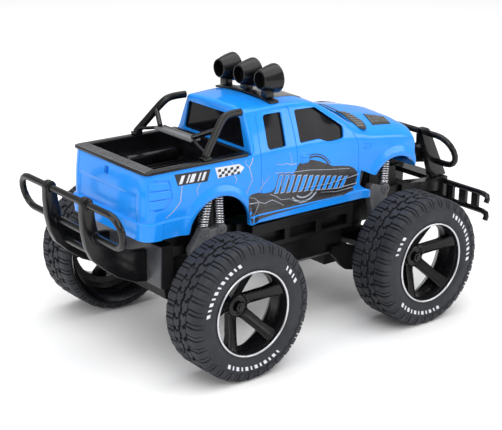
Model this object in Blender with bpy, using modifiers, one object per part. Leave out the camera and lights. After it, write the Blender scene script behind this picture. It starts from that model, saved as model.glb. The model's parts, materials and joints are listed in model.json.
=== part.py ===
"""Remote-controlled monster truck: a pickup body on a sprung chassis with four large wheels.

Sizes are in millimetres and MM turns them into Blender's metres. +X is forward, +Y is the truck's
left, +Z is up. The origin is on the ground under the middle of the wheelbase.
"""
import math

import bmesh
import bpy
from mathutils import Matrix, Vector

MM = 0.001
GAP = 0.3

# Wheels and axles
HALF_WHEELBASE = 103.0
AXLE_HEIGHT = 60.0
TYRE_RADIUS = 60.0
TYRE_HALF_WIDTH = 22.0
WHEEL_OFFSET = 99.7
RIM_RADIUS = 37.0
RIM_BARREL_INNER = 34.4
RIM_BACK_RADIUS = 48.0
SPOKES = 5
SHAFT_RADIUS = 2.5
KINGPIN_OFFSET = 68.0
STEER_ARM = 16.0
HORN_ARM = 13.0
TIE_ROD_X = HALF_WHEELBASE - STEER_ARM
HORN_X = TIE_ROD_X - HORN_ARM

# Final drive: spur gears of one millimetre module
MODULE = 1.0
FINAL_TEETH = 24
PINION_TEETH = 8
MOTOR_X = -HALF_WHEELBASE + MODULE * (FINAL_TEETH + PINION_TEETH) / 2

# Suspension
SPRING_TOP = 144.0
SPRING_OFFSET = 49.0
SPRING_RADIUS = 4.1
SPRING_WIRE = 0.8
BRACKET_HALF = 1.5

# Body shell
WALL = 1.8
SHELL_BOTTOM = 111.0
REAR_FACE = -164.5
FRONT_FACE = 142.3
CAB_REAR = -55.0
REAR_ARCH = (-91.0, 111.0, 32.5)
FRONT_ARCH = (114.5, 113.0, 32.0)

# x, crown height, edge half-width, edge height, belt half-width, belt height
BODY_STATIONS = [
    (REAR_FACE, 172.0, 53.0, 172.0, 56.0, 168.0),
    (-110.0, 172.0, 53.4, 172.0, 56.2, 168.0),
    (CAB_REAR - 1.0, 172.0, 53.4, 172.0, 56.2, 168.0),
    (CAB_REAR, 210.0, 40.2, 207.5, 55.6, 172.4),
    (-19.0, 212.4, 42.4, 208.4, 55.6, 172.4),
    (10.0, 211.0, 42.6, 207.2, 55.6, 172.2),
    (28.0, 205.5, 42.4, 203.0, 55.6, 172.0),
    (50.0, 196.8, 48.6, 188.4, 55.7, 170.5),
    (72.0, 188.0, 52.4, 174.6, 55.8, 168.5),
    (90.0, 186.0, 51.0, 172.6, 55.8, 166.5),
    (112.0, 182.0, 50.2, 170.4, 55.8, 164.5),
    (130.0, 176.5, 49.2, 168.0, 55.6, 162.0),
    (FRONT_FACE - 3.5, 171.0, 47.4, 165.5, 54.8, 159.0),
    (FRONT_FACE, 165.5, 45.0, 161.0, 53.0, 156.0),
]
# half-width and height of the body side below the belt
BODY_SIDE = [(57.4, 154.0), (58.0, 138.0), (57.2, 121.0), (56.2, SHELL_BOTTOM)]

COLOURS = {
    "body_blue": ((0.03, 0.26, 0.95), 0.22, 0.0),
    "tinted_glazing": ((0.02, 0.02, 0.025), 0.12, 0.0),
    "black_plastic": ((0.022, 0.022, 0.024), 0.42, 0.0),
    "chassis_plastic": ((0.03, 0.03, 0.033), 0.55, 0.0),
    "bracket_plastic": ((0.11, 0.11, 0.12), 0.45, 0.0),
    "vent_plastic": ((0.05, 0.05, 0.05), 0.5, 0.0),
    "lamp_clear": ((0.75, 0.77, 0.8), 0.08, 0.0),
    "tyre_rubber": ((0.045, 0.045, 0.055), 0.62, 0.0),
    "rim_black": ((0.02, 0.02, 0.022), 0.3, 0.0),
    "steel": ((0.6, 0.6, 0.62), 0.28, 1.0),
    "gear_nylon": ((0.85, 0.84, 0.78), 0.5, 0.0),
    "battery_wrap": ((0.12, 0.3, 0.14), 0.4, 0.0),
    "board_green": ((0.03, 0.22, 0.08), 0.45, 0.0),
}


# ---------------------------------------------------------------- scene and helpers

def clear_scene():
    for obj in list(bpy.data.objects):
        bpy.data.objects.remove(obj, do_unlink=True)


def new_collection(name):
    collection = bpy.data.collections.new(name)
    bpy.context.scene.collection.children.link(collection)
    return collection


def paint(obj, colour):
    """Give an object its own Principled material in one of the named finishes."""
    base, roughness, metallic = COLOURS[colour]
    material = bpy.data.materials.new(obj.name + "_" + colour)
    material.use_nodes = True
    shader = material.node_tree.nodes["Principled BSDF"]
    shader.inputs["Base Color"].default_value = (*base, 1.0)
    shader.inputs["Roughness"].default_value = roughness
    shader.inputs["Metallic"].default_value = metallic
    if obj.data.materials:
        obj.data = obj.data.copy()
        obj.data.materials.clear()
    obj.data.materials.append(material)
    return obj


def place(name, mesh, tool):
    """Link a mesh as a part, or as a hidden cutter or joining piece."""
    obj = bpy.data.objects.new(name, mesh)
    if tool:
        TOOLS.objects.link(obj)
        obj.hide_render = True
        obj.display_type = "WIRE"
    else:
        PARTS.objects.link(obj)
    return obj


def baked(obj, name, tool):
    """Replace a curve by its evaluated mesh, with the caps welded on."""
    bpy.context.view_layer.update()
    evaluated = obj.evaluated_get(bpy.context.evaluated_depsgraph_get())
    mesh = bpy.data.meshes.new_from_object(evaluated)
    matrix = obj.matrix_world.copy()
    curve = obj.data
    bpy.data.objects.remove(obj)
    bpy.data.curves.remove(curve)
    shape = bmesh.new()
    shape.from_mesh(mesh)
    bmesh.ops.remove_doubles(shape, verts=shape.verts, dist=0.01 * MM)
    bmesh.ops.recalc_face_normals(shape, faces=shape.faces)
    shape.to_mesh(mesh)
    shape.free()
    mesh.name = name
    result = place(name, mesh, tool)
    result.matrix_world = matrix
    return result


def block(name, low, high, tool=False):
    """An upright box between two corners."""
    shape = bmesh.new()
    bmesh.ops.create_cube(shape, size=1.0)
    size = [(b - a) * MM for a, b in zip(low, high)]
    bmesh.ops.scale(shape, vec=size, verts=shape.verts)
    mesh = bpy.data.meshes.new(name)
    shape.to_mesh(mesh)
    shape.free()
    obj = place(name, mesh, tool)
    obj.location = [(a + b) / 2 * MM for a, b in zip(low, high)]
    return obj


def rod(name, start, end, radius, sides=16, tool=False, end_radius=None):
    """A cylinder, or a cone, between two points."""
    start = Vector(start) * MM
    end = Vector(end) * MM
    shape = bmesh.new()
    bmesh.ops.create_cone(
        shape, cap_ends=True, segments=sides, radius1=radius * MM,
        radius2=(radius if end_radius is None else end_radius) * MM, depth=(end - start).length)
    mesh = bpy.data.meshes.new(name)
    shape.to_mesh(mesh)
    shape.free()
    mesh.shade_smooth()
    mesh.set_sharp_from_angle(angle=math.radians(40))
    obj = place(name, mesh, tool)
    obj.location = (start + end) / 2
    obj.rotation_euler = (end - start).to_track_quat("Z", "Y").to_euler()
    return obj


def slab(name, outline, plane, low, high, tool=False):
    """A flat outline in the XY, XZ or YZ plane, thick from low to high along the third axis."""
    curve = bpy.data.curves.new(name, "CURVE")
    curve.dimensions = "2D"
    curve.fill_mode = "BOTH"
    curve.extrude = abs(high - low) / 2 * MM
    spline = curve.splines.new("POLY")
    spline.points.add(len(outline) - 1)
    for point, (u, v) in zip(spline.points, outline):
        point.co = (u * MM, v * MM, 0.0, 1.0)
    spline.use_cyclic_u = True
    obj = bpy.data.objects.new(name, curve)
    TOOLS.objects.link(obj)
    middle = (low + high) / 2 * MM
    if plane == "XY":
        obj.matrix_world = Matrix.Translation((0.0, 0.0, middle))
    elif plane == "XZ":
        obj.matrix_world = Matrix.Translation((0.0, middle, 0.0)) @ Matrix.Rotation(math.pi / 2, 4, "X")
    else:
        turn = Matrix(((0, 0, 1, 0), (1, 0, 0, 0), (0, 1, 0, 0), (0, 0, 0, 1)))
        obj.matrix_world = Matrix.Translation((middle, 0.0, 0.0)) @ turn
    return baked(obj, name, tool)


def tube(name, points, radius, cyclic=False, resolution=2, tool=False):
    """A round bar along a line of points."""
    curve = bpy.data.curves.new(name, "CURVE")
    curve.dimensions = "3D"
    curve.bevel_depth = radius * MM
    curve.bevel_resolution = resolution
    curve.use_fill_caps = True
    spline = curve.splines.new("POLY")
    spline.points.add(len(points) - 1)
    for point, place_mm in zip(spline.points, points):
        point.co = (*[value * MM for value in place_mm], 1.0)
    spline.use_cyclic_u = cyclic
    obj = bpy.data.objects.new(name, curve)
    TOOLS.objects.link(obj)
    return baked(obj, name, tool)


def turned(name, profile, centre, axis, steps=28, tool=False):
    """A turned shape: (radius, position along the axis) pairs, outer side from top to bottom."""
    shape = bmesh.new()
    verts = [shape.verts.new((r * MM, 0.0, a * MM)) for r, a in profile]
    for first, second in zip(verts, verts[1:] + verts[:1]):
        shape.edges.new((first, second))
    mesh = bpy.data.meshes.new(name)
    shape.to_mesh(mesh)
    shape.free()
    obj = place(name, mesh, tool)
    screw = obj.modifiers.new("turn", "SCREW")
    screw.axis = "Z"
    screw.steps = steps
    screw.render_steps = steps
    screw.merge_threshold = 0.01 * MM
    screw.use_smooth_shade = False
    obj.location = Vector(centre) * MM
    obj.rotation_euler = Vector(axis).to_track_quat("Z", "Y").to_euler()
    return obj


def combine(obj, operation, others):
    for number, other in enumerate(others):
        step = obj.modifiers.new(operation.lower() + str(number), "BOOLEAN")
        step.operation = operation
        step.solver = "EXACT"
        step.object = other
    return obj


def join(obj, *others):
    return combine(obj, "UNION", others)


def carve(obj, *cutters):
    return combine(obj, "DIFFERENCE", cutters)


def arc(centre, radius, start, end, count):
    """Points on a circular arc; the angles are in degrees."""
    steps = [math.radians(start + (end - start) * i / (count - 1)) for i in range(count)]
    return [(centre[0] + radius * math.cos(a), centre[1] + radius * math.sin(a)) for a in steps]


def pivot(name, point):
    """An empty on a joint's axis."""
    empty = bpy.data.objects.new(name, None)
    empty.location = Vector(point) * MM
    PARTS.objects.link(empty)
    return empty


def hang(empty, *children):
    for child in children:
        child.parent = empty
        child.matrix_parent_inverse = Matrix.Translation(empty.location).inverted()


# ---------------------------------------------------------------- body

def half_section(station, inset):
    """Points from the centre line, over the shoulder and down the side, at one station."""
    x, crown, edge_y, edge_z, belt_y, belt_z = station
    fall = crown - edge_z
    points = [
        (0.0, crown),
        (edge_y * 0.55, crown - 0.25 * fall),
        (edge_y * 0.9, crown - 0.7 * fall),
        (edge_y, edge_z),
        ((edge_y + belt_y) / 2 + 0.4, (edge_z + belt_z) / 2),
        (belt_y, belt_z),
    ]
    return [(x, max(y - inset, 0.0), z - inset) for y, z in points]


def lofted(name, sections, close_front):
    """A left half surface through sections that all have the same number of points."""
    shape = bmesh.new()
    rows = [[shape.verts.new([value * MM for value in point]) for point in row] for row in sections]
    for row, following in zip(rows, rows[1:]):
        for j in range(len(row) - 1):
            shape.faces.new((row[j], following[j], following[j + 1], row[j + 1]))
    base = rows[0][-1].co
    foot = shape.verts.new((base.x, 0.0, base.z))
    shape.faces.new(rows[0] + [foot])
    if close_front:
        base = rows[-1][-1].co
        toe = shape.verts.new((base.x, 0.0, base.z))
        shape.faces.new([toe] + rows[-1][::-1])
    mesh = bpy.data.meshes.new(name)
    shape.to_mesh(mesh)
    shape.free()
    return mesh


def shell_of(name, mesh, thickness):
    """Mirror a half surface and give it a wall on its inner side."""
    obj = place(name, mesh, False)
    mirror = obj.modifiers.new("mirror", "MIRROR")
    mirror.use_axis = (False, True, False)
    mirror.merge_threshold = 0.05 * MM
    wall = obj.modifiers.new("wall", "SOLIDIFY")
    wall.thickness = thickness * MM
    wall.offset = -1.0
    wall.use_even_offset = True
    return obj


def body_shell():
    sections = []
    for station in BODY_STATIONS:
        x = station[0]
        taper = max(0.0, (x - 125.0) / (FRONT_FACE - 125.0)) * 2.0
        side = [(x, y - taper, z) for y, z in BODY_SIDE]
        sections.append(half_section(station, 0.0) + side)
    shell = shell_of("body_shell", lofted("body_shell", sections, True), WALL)
    small_window = [(-35.5, 201.2), (-33.3, 202.8), (-16.3, 202.8), (-15.5, 201.5), (-16.6, 174.0),
                    (-35.0, 173.6), (-36.9, 176.5)]
    door_window = [(-0.7, 202.5), (24.3, 201.4), (51.8, 181.3), (50.1, 171.3), (37.0, 170.5),
                   (30.0, 171.3), (21.8, 174.7), (-0.9, 174.2)]
    fender_gap = [(86.0, 131.4), (70.2, 138.6), (69.4, 125.0), (73.5, 121.3), (81.4, 118.0), (86.0, 100.0),
                  (95.0, 100.0), (95.0, 131.4)]
    cutters = [
        slab("small_window_cut", small_window, "XZ", -70, 70, True),
        slab("door_window_cut", door_window, "XZ", -70, 70, True),
        slab("rear_window_cut", [(-44, 176), (44, 176), (37, 202), (-37, 202)], "YZ", -70, -50, True),
        slab("windshield_cut", [(33, -36), (66, -45), (66, 45), (33, 36)], "XY", 165, 215, True),
        slab("rear_arch_cut", arc(REAR_ARCH[:2], REAR_ARCH[2], 0, 345, 24), "XZ", -70, 70, True),
        slab("front_arch_cut", arc(FRONT_ARCH[:2], FRONT_ARCH[2], 0, 345, 24), "XZ", -70, 70, True),
        slab("fender_gap_cut", fender_gap, "XZ", -70, 70, True),
        block("bed_cut", (-161.5, -50.5, 160), (-57.5, 50.5, 180), True),
        block("rear_sill_cut", (-175, -70, 100), (-122, 70, 116.3), True),
        block("front_sill_cut", (138, -70, 100), (150, 70, 130), True),
        block("grille_cut", (138, -37, 134), (150, 37, 157), True),
        block("headlight_cut", (138, -49, 143), (150, -39, 155), True),
        block("headlight_cut_left", (138, 39, 143), (150, 49, 155), True),
    ]
    step = block("rear_step", (-167.8, -59.4, 116.3), (-163.6, 59.4, 132.0), True)
    join(shell, step)
    carve(shell, *cutters)
    return paint(shell, "body_blue")


def cab_glazing():
    inset = WALL + GAP + 0.25
    sections = []
    for station in BODY_STATIONS[3:9]:
        x = station[0] + (inset if station[0] == CAB_REAR else 0.0)
        row = half_section((x,) + station[1:], inset)
        row.append((x, station[4] - inset, 163.0))
        sections.append(row)
    glazing = shell_of("cab_glazing", lofted("cab_glazing", sections, False), 1.2)
    return paint(glazing, "tinted_glazing")


def bed_liner():
    liner = block("bed_liner", (REAR_FACE - 0.8, -56.6, 172.3), (CAB_REAR - 1.2, 56.6, 175.0))
    tub = block("bed_tub", (-160.8, -49.8, 148.6), (-58.2, 49.8, 173.5), True)
    hump = [block("bed_hump" + str(side), (-122, min(side * 36, side * 49), 149.5),
                  (-66, max(side * 36, side * 49), 160.0), True) for side in (-1, 1)]
    hollow = block("bed_hollow", (-158.8, -47.8, 150.4), (-60.2, 47.8, 180.0), True)
    join(liner, tub)
    carve(liner, hollow)
    join(liner, *hump)
    return paint(liner, "black_plastic")


def roll_bar():
    runs = []
    for side in (-1, 1):
        path = [(CAB_REAR - 1.2, side * 40.5, 207.6), (-66, side * 41.0, 207.6), (-73, side * 41.8, 207.0),
                (-79, side * 43.2, 203.0), (-101.0, side * 51.4, 177.6)]
        runs.append(tube("roll_bar_run", path, 3.1, tool=True))
        foot = block("roll_bar_foot", (-105, side * 51.6 - 3.4, 175.6), (-97.5, side * 51.6 + 3.4, 178.8), True)
        brace = tube("roll_bar_brace", [(-86, side * 45.4, 196.0), (-95, side * 23.0, 186.5)], 1.8, tool=True)
        runs += [foot, brace]
    plate = block("roll_bar", (-99.5, -27.0, 184.2), (-88.5, 27.0, 187.2))
    join(plate, *runs)
    return paint(plate, "black_plastic")


def roof_height(x, y):
    """Height of the roof's outer surface, between the stations on either side of x."""
    before, after = next(pair for pair in zip(BODY_STATIONS[3:], BODY_STATIONS[4:]) if pair[1][0] > x)
    share = (x - before[0]) / (after[0] - before[0])
    section = half_section([a + (b - a) * share for a, b in zip(before, after)], 0.0)
    inner, outer = next(pair for pair in zip(section, section[1:]) if pair[1][1] > abs(y))
    across = (abs(y) - inner[1]) / (outer[1] - inner[1])
    return inner[2] + (outer[2] - inner[2]) * across


def lamp_bar():
    """A strip across the roof that follows the roof's crown."""
    under = [(-39.6, 209.7), (-23.3, 211.8), (0.0, 212.9), (23.3, 211.8), (39.6, 209.7)]
    over = [(y, z + 2.0) for y, z in reversed(under)]
    return paint(slab("lamp_bar", under + over, "YZ", -23.5, -13.5), "black_plastic")


def roof_lamp(side_name, y):
    """A bell-shaped lamp housing on two short posts, open towards the front."""
    profile = [(13.0, 8.5), (8.4, -8.0), (8.4, -8.8), (7.2, -8.8), (7.2, -7.6), (11.6, 8.5)]
    lamp = turned("roof_lamp_" + side_name, profile, (-18.5, y, 229.4), (1, 0, 0), 16)
    posts = []
    for offset in (-4.0, 4.0):
        foot = 216.0 - abs(y + offset) / 39.6 * 3.0
        posts.append(block("lamp_post", (-21, y + offset - 1.6, foot), (-16, y + offset + 1.6, 221.0), True))
    bulkhead = rod("lamp_bulkhead", (-20.5, y, 229.4), (-18.5, y, 229.4), 8.9, 16, True)
    join(lamp, bulkhead, *posts)
    return paint(lamp, "black_plastic")


def sunroof_panel():
    """A dark panel lying on the roof, sloping with it towards the windshield."""
    shape = bmesh.new()
    rows = []
    for x in (-9.0, 9.5, 24.5):
        heights = [(y, roof_height(x, y) + GAP + 0.2) for y in (-26.0, -13.0, 0.0, 13.0, 26.0)]
        rows.append([shape.verts.new((x * MM, y * MM, z * MM)) for y, z in heights])
    for row, following in zip(rows, rows[1:]):
        for j in range(len(row) - 1):
            shape.faces.new((row[j], following[j], following[j + 1], row[j + 1]))
    mesh = bpy.data.meshes.new("sunroof_panel")
    shape.to_mesh(mesh)
    shape.free()
    panel = place("sunroof_panel", mesh, False)
    sheet = panel.modifiers.new("sheet", "SOLIDIFY")
    sheet.thickness = 0.9 * MM
    sheet.offset = 1.0
    return paint(panel, "tinted_glazing")


def hood_vent(side_name, side):
    """A louvred grid lying just above the hood."""
    vent = block("hood_vent_" + side_name, (-10, -8, -0.8), (10, 8, 0.8))
    slots = [block("vent_slot", (-8 + 4 * i, -6.5, 0.0), (-6 + 4 * i, 6.5, 2.0), True) for i in range(5)]
    frame = Matrix.Translation(Vector((106.5, side * 37.5, 180.4)) * MM)
    frame = frame @ Matrix.Rotation(math.radians(-side * 19.0), 4, "X") @ Matrix.Rotation(math.radians(9.0), 4, "Y")
    vent.matrix_world = frame
    for slot in slots:
        slot.matrix_world = frame @ Matrix.Translation(slot.location)
    carve(vent, *slots)
    return paint(vent, "vent_plastic")


def cowl_grille():
    """A mesh strip across the rear edge of the hood, following its crown."""
    under = [(-50.0, 177.6), (-46.0, 180.4), (-28.8, 186.0), (0.0, 189.0), (28.8, 186.0), (46.0, 180.4), (50.0, 177.6)]
    over = [(y, z + 1.0) for y, z in reversed(under)]
    return paint(slab("cowl_grille", under + over, "YZ", 72.5, 80.5), "vent_plastic")


def front_grille():
    grille = block("front_grille", (139.6, -36.6, 134.4), (142.0, 36.6, 156.6))
    bars = [block("grille_slot", (140.6, -33, z), (145, 33, z + 3.0), True) for z in (137, 142, 147, 152)]
    carve(grille, *bars)
    return paint(grille, "black_plastic")


def headlight(side_name, side):
    low = (139.4, min(side * 39.4, side * 48.6), 143.4)
    high = (142.2, max(side * 39.4, side * 48.6), 154.6)
    return paint(block("headlight_" + side_name, low, high), "lamp_clear")


# ---------------------------------------------------------------- bumpers

def stadium(half_length, low, high, count=6):
    """A loop with round ends between two levels, each given as (x, z)."""
    rise = math.hypot(high[0] - low[0], high[1] - low[1])
    middle = ((low[0] + high[0]) / 2, (low[1] + high[1]) / 2)
    up = ((high[0] - low[0]) / rise, (high[1] - low[1]) / rise)
    radius = rise / 2
    flat = half_length - radius
    ends = arc((flat, 0.0), radius, -90, 90, count) + arc((-flat, 0.0), radius, 90, 270, count)
    return [(middle[0] + up[0] * v, u, middle[1] + up[1] * v) for u, v in ends]


def rear_bumper():
    """Curved brackets carrying a looped tube and a short lower tube."""
    bracket = (arc((-205.0, 150.2), 6.0, 200, 0, 8) + [(-197.0, 142.0), (-195.4, 128.0), (-191.5, 120.0),
               (-181.5, 109.5), (-171.8, 104.0), (-160.0, 101.0), (-147.3, 100.0), (-147.3, 71.0), (-160.0, 73.2),
               (-176.2, 80.4), (-190.0, 90.7), (-201.4, 101.3), (-206.4, 112.0), (-209.4, 126.0), (-210.2, 140.0)])
    loop = tube("rear_bumper", stadium(78.6, (-199.0, 122.0), (-205.0, 150.4)), 3.0, cyclic=True)
    plates = []
    for side in (-1, 1):
        plates.append(slab("rear_bracket", bracket, "XZ", side * 29 - 3.6, side * 29 + 3.6, True))
    lower = rod("rear_lower_tube", (-193, -30, 103), (-193, 30, 103), 2.8, 12, True)
    join(loop, lower, *plates)
    return paint(loop, "black_plastic")


def front_guard():
    """Two slanted brackets carrying a looped tube, with a round lamp inside each bracket."""
    bracket = [(171.6, 156.6), (182.0, 156.6), (185.4, 152.6), (210.5, 104.4), (189.0, 104.4), (188.0, 110.0),
               (175.0, 147.0)]
    loop = tube("front_guard", stadium(61.0, (197.5, 119.5), (182.5, 150.5)), 3.0, cyclic=True)
    plates = []
    for side in (-1, 1):
        plates.append(slab("guard_bracket", bracket, "XZ", side * 29 - 3.6, side * 29 + 3.6, True))
        plates.append(rod("guard_lamp", (179, side * 14, 127.5), (196, side * 14, 125.5), 10.2, 16, True))
    join(loop, *plates)
    return paint(loop, "black_plastic")


def front_bumper():
    """Two hooked tubes joined by slats, on a centre block with arms back to the chassis."""
    base = block("front_bumper", (192, -37, 77), (208, 37, 104))
    pieces = []
    for z in (99.0, 81.5):
        side_run = [(205, 20, z), (205.5, 80, z), (205, 88, z)]
        hook = [(203.5, 94, z - 0.6), (201.5, 96.5, z - 2.8), (200.5, 96.0, z - 6.2)]
        for side in (-1, 1):
            path = [(x, side * y, height) for x, y, height in side_run + hook]
            pieces.append(tube("bumper_tube", path, 2.8, tool=True))
    for side in (-1, 1):
        for y, width in ((45, 9), (62, 9), (78, 8)):
            low = (203.4, side * y - width / 2, 79.5)
            high = (206.8, side * y + width / 2, 98.0)
            pieces.append(block("bumper_slat", low, high, True))
        arm = [(152.3, 95.0), (152.3, 107.0), (184.0, 103.8), (196.0, 103.8), (196.0, 92.0)]
        pieces.append(slab("bumper_arm", arm, "XZ", side * 33 - 6, side * 33 + 6, True))
    window = block("bumper_window", (180, -25, 82), (215, 25, 99), True)
    join(base, *pieces)
    carve(base, window)
    return paint(base, "black_plastic")


# ---------------------------------------------------------------- chassis and electrics

def chassis_tub():
    """A central tub with spines over both axles, end blocks, side frames and body posts."""
    outside = [(-44, 60), (-27, 50), (27, 50), (44, 60), (44, 108), (-44, 108)]
    inside = [(-40.5, 62.1), (-26.0, 52.5), (26.0, 52.5), (40.5, 62.1), (40.5, 110), (-40.5, 110)]
    tub = slab("chassis_tub", outside, "YZ", -62, 62)
    pieces = [
        block("rear_spine", (-146, -38, 99), (-61, 38, 107.5), True),
        block("rear_block", (-147, -53, 70), (-135.5, 53, 108), True),
        block("front_spine", (61, -38, 99), (151, 38, 107.5), True),
        block("front_block", (140, -42, 74), (152, 42, 108), True),
    ]
    cuts = [slab("tub_hollow", inside, "YZ", -58.5, 58.5, True)]
    for side in (-1, 1):
        low = min(side * 43, side * 53.6)
        high = max(side * 43, side * 53.6)
        pieces.append(block("side_frame", (-52, low, 84), (66, high, 107), True))
        low = min(side * 46, side * 60)
        high = max(side * 46, side * 60)
        for start in (-46, -9, 28):
            cuts.append(block("side_pocket", (start, low, 88), (start + 31, high, 98), True))
        pieces.append(rod("rear_post", (-140, side * 25, 105), (-140, side * 25, 148.2), 3.2, 12, True))
        pieces.append(rod("front_post", (128, side * 18, 105), (128, side * 18, 171), 3.2, 12, True))
    door_way = block("door_way", (-50.3, -22.3, 45), (28.3, 22.3, 56), True)
    switch_way = block("switch_way", (40, -3.3, 45), (51, 3.3, 56), True)
    join(tub, *pieces)
    carve(tub, door_way, switch_way, *cuts)
    return paint(tub, "chassis_plastic")


def shock_tower(name, spring_tops, x_low, x_high):
    """A cross plate on two legs, with a guide post inside the top of each spring."""
    tower = block(name, (x_low, -54, SPRING_TOP + GAP), (x_high, 54, SPRING_TOP + 3.3))
    pieces = []
    for side in (-1, 1):
        low = min(side * 31, side * 36)
        high = max(side * 31, side * 36)
        pieces.append(block("tower_leg", (x_low + 2, low, 108.3), (x_high - 2, high, SPRING_TOP + 1), True))
        for foot, top in spring_tops:
            lean = (foot - top) / (SPRING_TOP - 116.0)
            end = (top + lean * 13.0, side * SPRING_OFFSET, SPRING_TOP - 13.0)
            pieces.append(rod("guide_post", (top - lean, side * SPRING_OFFSET, SPRING_TOP + 1), end, 1.9, 10, True))
    join(tower, *pieces)
    return paint(tower, "chassis_plastic")


def spring(name, foot, top, side, bottom):
    """A coil whose axis leans from its foot to its top."""
    turns = 4
    per_turn = 8
    count = turns * per_turn
    start = bottom + SPRING_WIRE + 0.05
    height = SPRING_TOP - SPRING_WIRE - 0.05 - start
    points = []
    for i in range(count + 1):
        share = i / count
        angle = 2 * math.pi * i / per_turn
        centre = foot + (top - foot) * share
        points.append((centre + SPRING_RADIUS * math.cos(angle),
                       side * SPRING_OFFSET + SPRING_RADIUS * math.sin(angle), start + height * share))
    return paint(tube(name, points, SPRING_WIRE, resolution=1), "steel")


def battery_pack():
    cells = block("battery_pack", (-46, -18, 56), (24, 18, 74))
    groove = [block("cell_groove", (-60, y - 1, 72.5), (60, y + 1, 80), True) for y in (-9, 0, 9)]
    return paint(carve(cells, *groove), "battery_wrap")


def circuit_board():
    board = block("circuit_board", (-30, -20, 88), (34, 20, 89.6))
    chips = [block("chip", (x, y, 89.0), (x + w, y + d, 89.6 + h), True)
             for x, y, w, d, h in ((-24, -12, 14, 12, 2.0), (2, -6, 9, 9, 1.6), (18, 2, 8, 12, 5.0), (-20, 6, 6, 8, 3.0))]
    return paint(join(board, *chips), "board_green")


def battery_door():
    """A belly door that swings down about its left-hand edge."""
    door = block("battery_door", (-50, -22, 50), (28, 22, 52.2))
    lip = block("door_lip", (-15, -21.0, 52.0), (-7, -19.4, 54.6), True)
    return paint(join(door, lip), "chassis_plastic")


def power_switch():
    knob = block("power_switch", (40.5, -3.0, 47.6), (46.5, 3.0, 52.6))
    cap = block("switch_flange", (38.0, -5.5, 52.8), (49.0, 5.5, 54.2), True)
    stem = block("switch_stem", (41.0, -2.5, 52.0), (46.0, 2.5, 53.5), True)
    return paint(join(knob, stem, cap), "bracket_plastic")


# ---------------------------------------------------------------- axles

def spur_gear(name, teeth, centre, y_low, y_high, bore, tooth_at):
    """A spur gear in the XZ plane with one tooth centred on the angle tooth_at (degrees)."""
    pitch = MODULE * teeth / 2
    outer = pitch + 0.9 * MODULE
    root = pitch - 1.2 * MODULE
    step = 360.0 / teeth
    outline = []
    for i in range(teeth):
        middle = tooth_at + i * step
        for radius, share in ((root, -0.31), (outer, -0.11), (outer, 0.11), (root, 0.31)):
            angle = math.radians(middle + share * step)
            outline.append((centre[0] + radius * math.cos(angle), centre[1] + radius * math.sin(angle)))
    gear = slab(name, outline, "XZ", y_low, y_high)
    hole = rod("gear_bore", (centre[0], y_low - 2, centre[1]), (centre[0], y_high + 2, centre[1]), bore, 16, True)
    return carve(gear, hole)


def rear_axle_housing():
    """Axle tubes with a gearbox tub that is open on top for the gears and the motor."""
    x = -HALF_WHEELBASE
    z = AXLE_HEIGHT
    outline = [(x - 26, z + 13), (x - 21, z - 13), (x - 9, z - 17), (x + 9, z - 17), (x + 22, z - 15),
               (x + 33, z - 9), (x + 33, z + 22), (x - 21, z + 22)]
    housing = slab("rear_axle_housing", outline, "XZ", -25, 25)
    tube_piece = rod("axle_tube", (x, -64, z), (x, 64, z), 8.5, 20, True)
    bore = rod("shaft_bore", (x, -80, z), (x, 80, z), SHAFT_RADIUS + 0.4, 16, True)
    gear_room = rod("gear_room", (x, 4, z), (x, 20, z), 14.6, 24, True)
    motor_room = rod("motor_room", (MOTOR_X, -22, z), (MOTOR_X, 22, z), 11.6, 20, True)
    top_room = block("top_room", (x - 15, -22, z), (x + 29, 22, z + 30), True)
    lip = block("housing_flange", (x - 21, -25, z + 19), (x + 33, 25, z + 22), True)
    pads = [block("bracket_pad", (x - 8, side * 50 - 5, z), (x + 10, side * 50 + 5, z + 12), True)
            for side in (-1, 1)]
    join(housing, tube_piece, lip, *pads)
    carve(housing, top_room, gear_room, motor_room, bore)
    return paint(housing, "chassis_plastic")


def gearbox_cover():
    x = -HALF_WHEELBASE
    top = AXLE_HEIGHT + 22 + GAP
    cover = block("rear_gearbox_cover", (x - 21, -25, top), (x + 33, 25, top + 2.2))
    spigot = block("cover_spigot", (x - 14.5, -21.5, top - 1.8), (x + 28.5, 21.5, top + 1), True)
    return paint(join(cover, spigot), "chassis_plastic")


def drive_motor():
    motor = rod("drive_motor", (MOTOR_X, -21, AXLE_HEIGHT), (MOTOR_X, 3, AXLE_HEIGHT), 11.2, 20)
    nose = rod("motor_nose", (MOTOR_X, 2, AXLE_HEIGHT), (MOTOR_X, 5, AXLE_HEIGHT), 4.0, 12, True)
    spindle = rod("motor_spindle", (MOTOR_X, 4, AXLE_HEIGHT), (MOTOR_X, 19.5, AXLE_HEIGHT), 1.1, 10, True)
    return paint(join(motor, nose, spindle), "steel")


def bracket_outline_rear():
    x = -HALF_WHEELBASE
    return ([(x - 7, 72.3), (x - 15, 100.0)] + arc((-102.0, 111.0), 4.6, 190, 60, 5)
            + [(-94.0, 112.0)] + arc((-84.6, 111.0), 4.6, 120, -20, 6) + [(x + 12, 84.0), (x + 9, 72.3)])


def bracket_outline_front():
    x = HALF_WHEELBASE
    return ([(x - 6, 72.3), (88.0, 106.0), (88.0, 119.0), (92.0, 120.6), (101.0, 117.0)]
            + arc((107.5, 112.8), 5.0, 120, -60, 7) + [(x + 6, 84.0), (x + 6, 72.3)])


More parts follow.
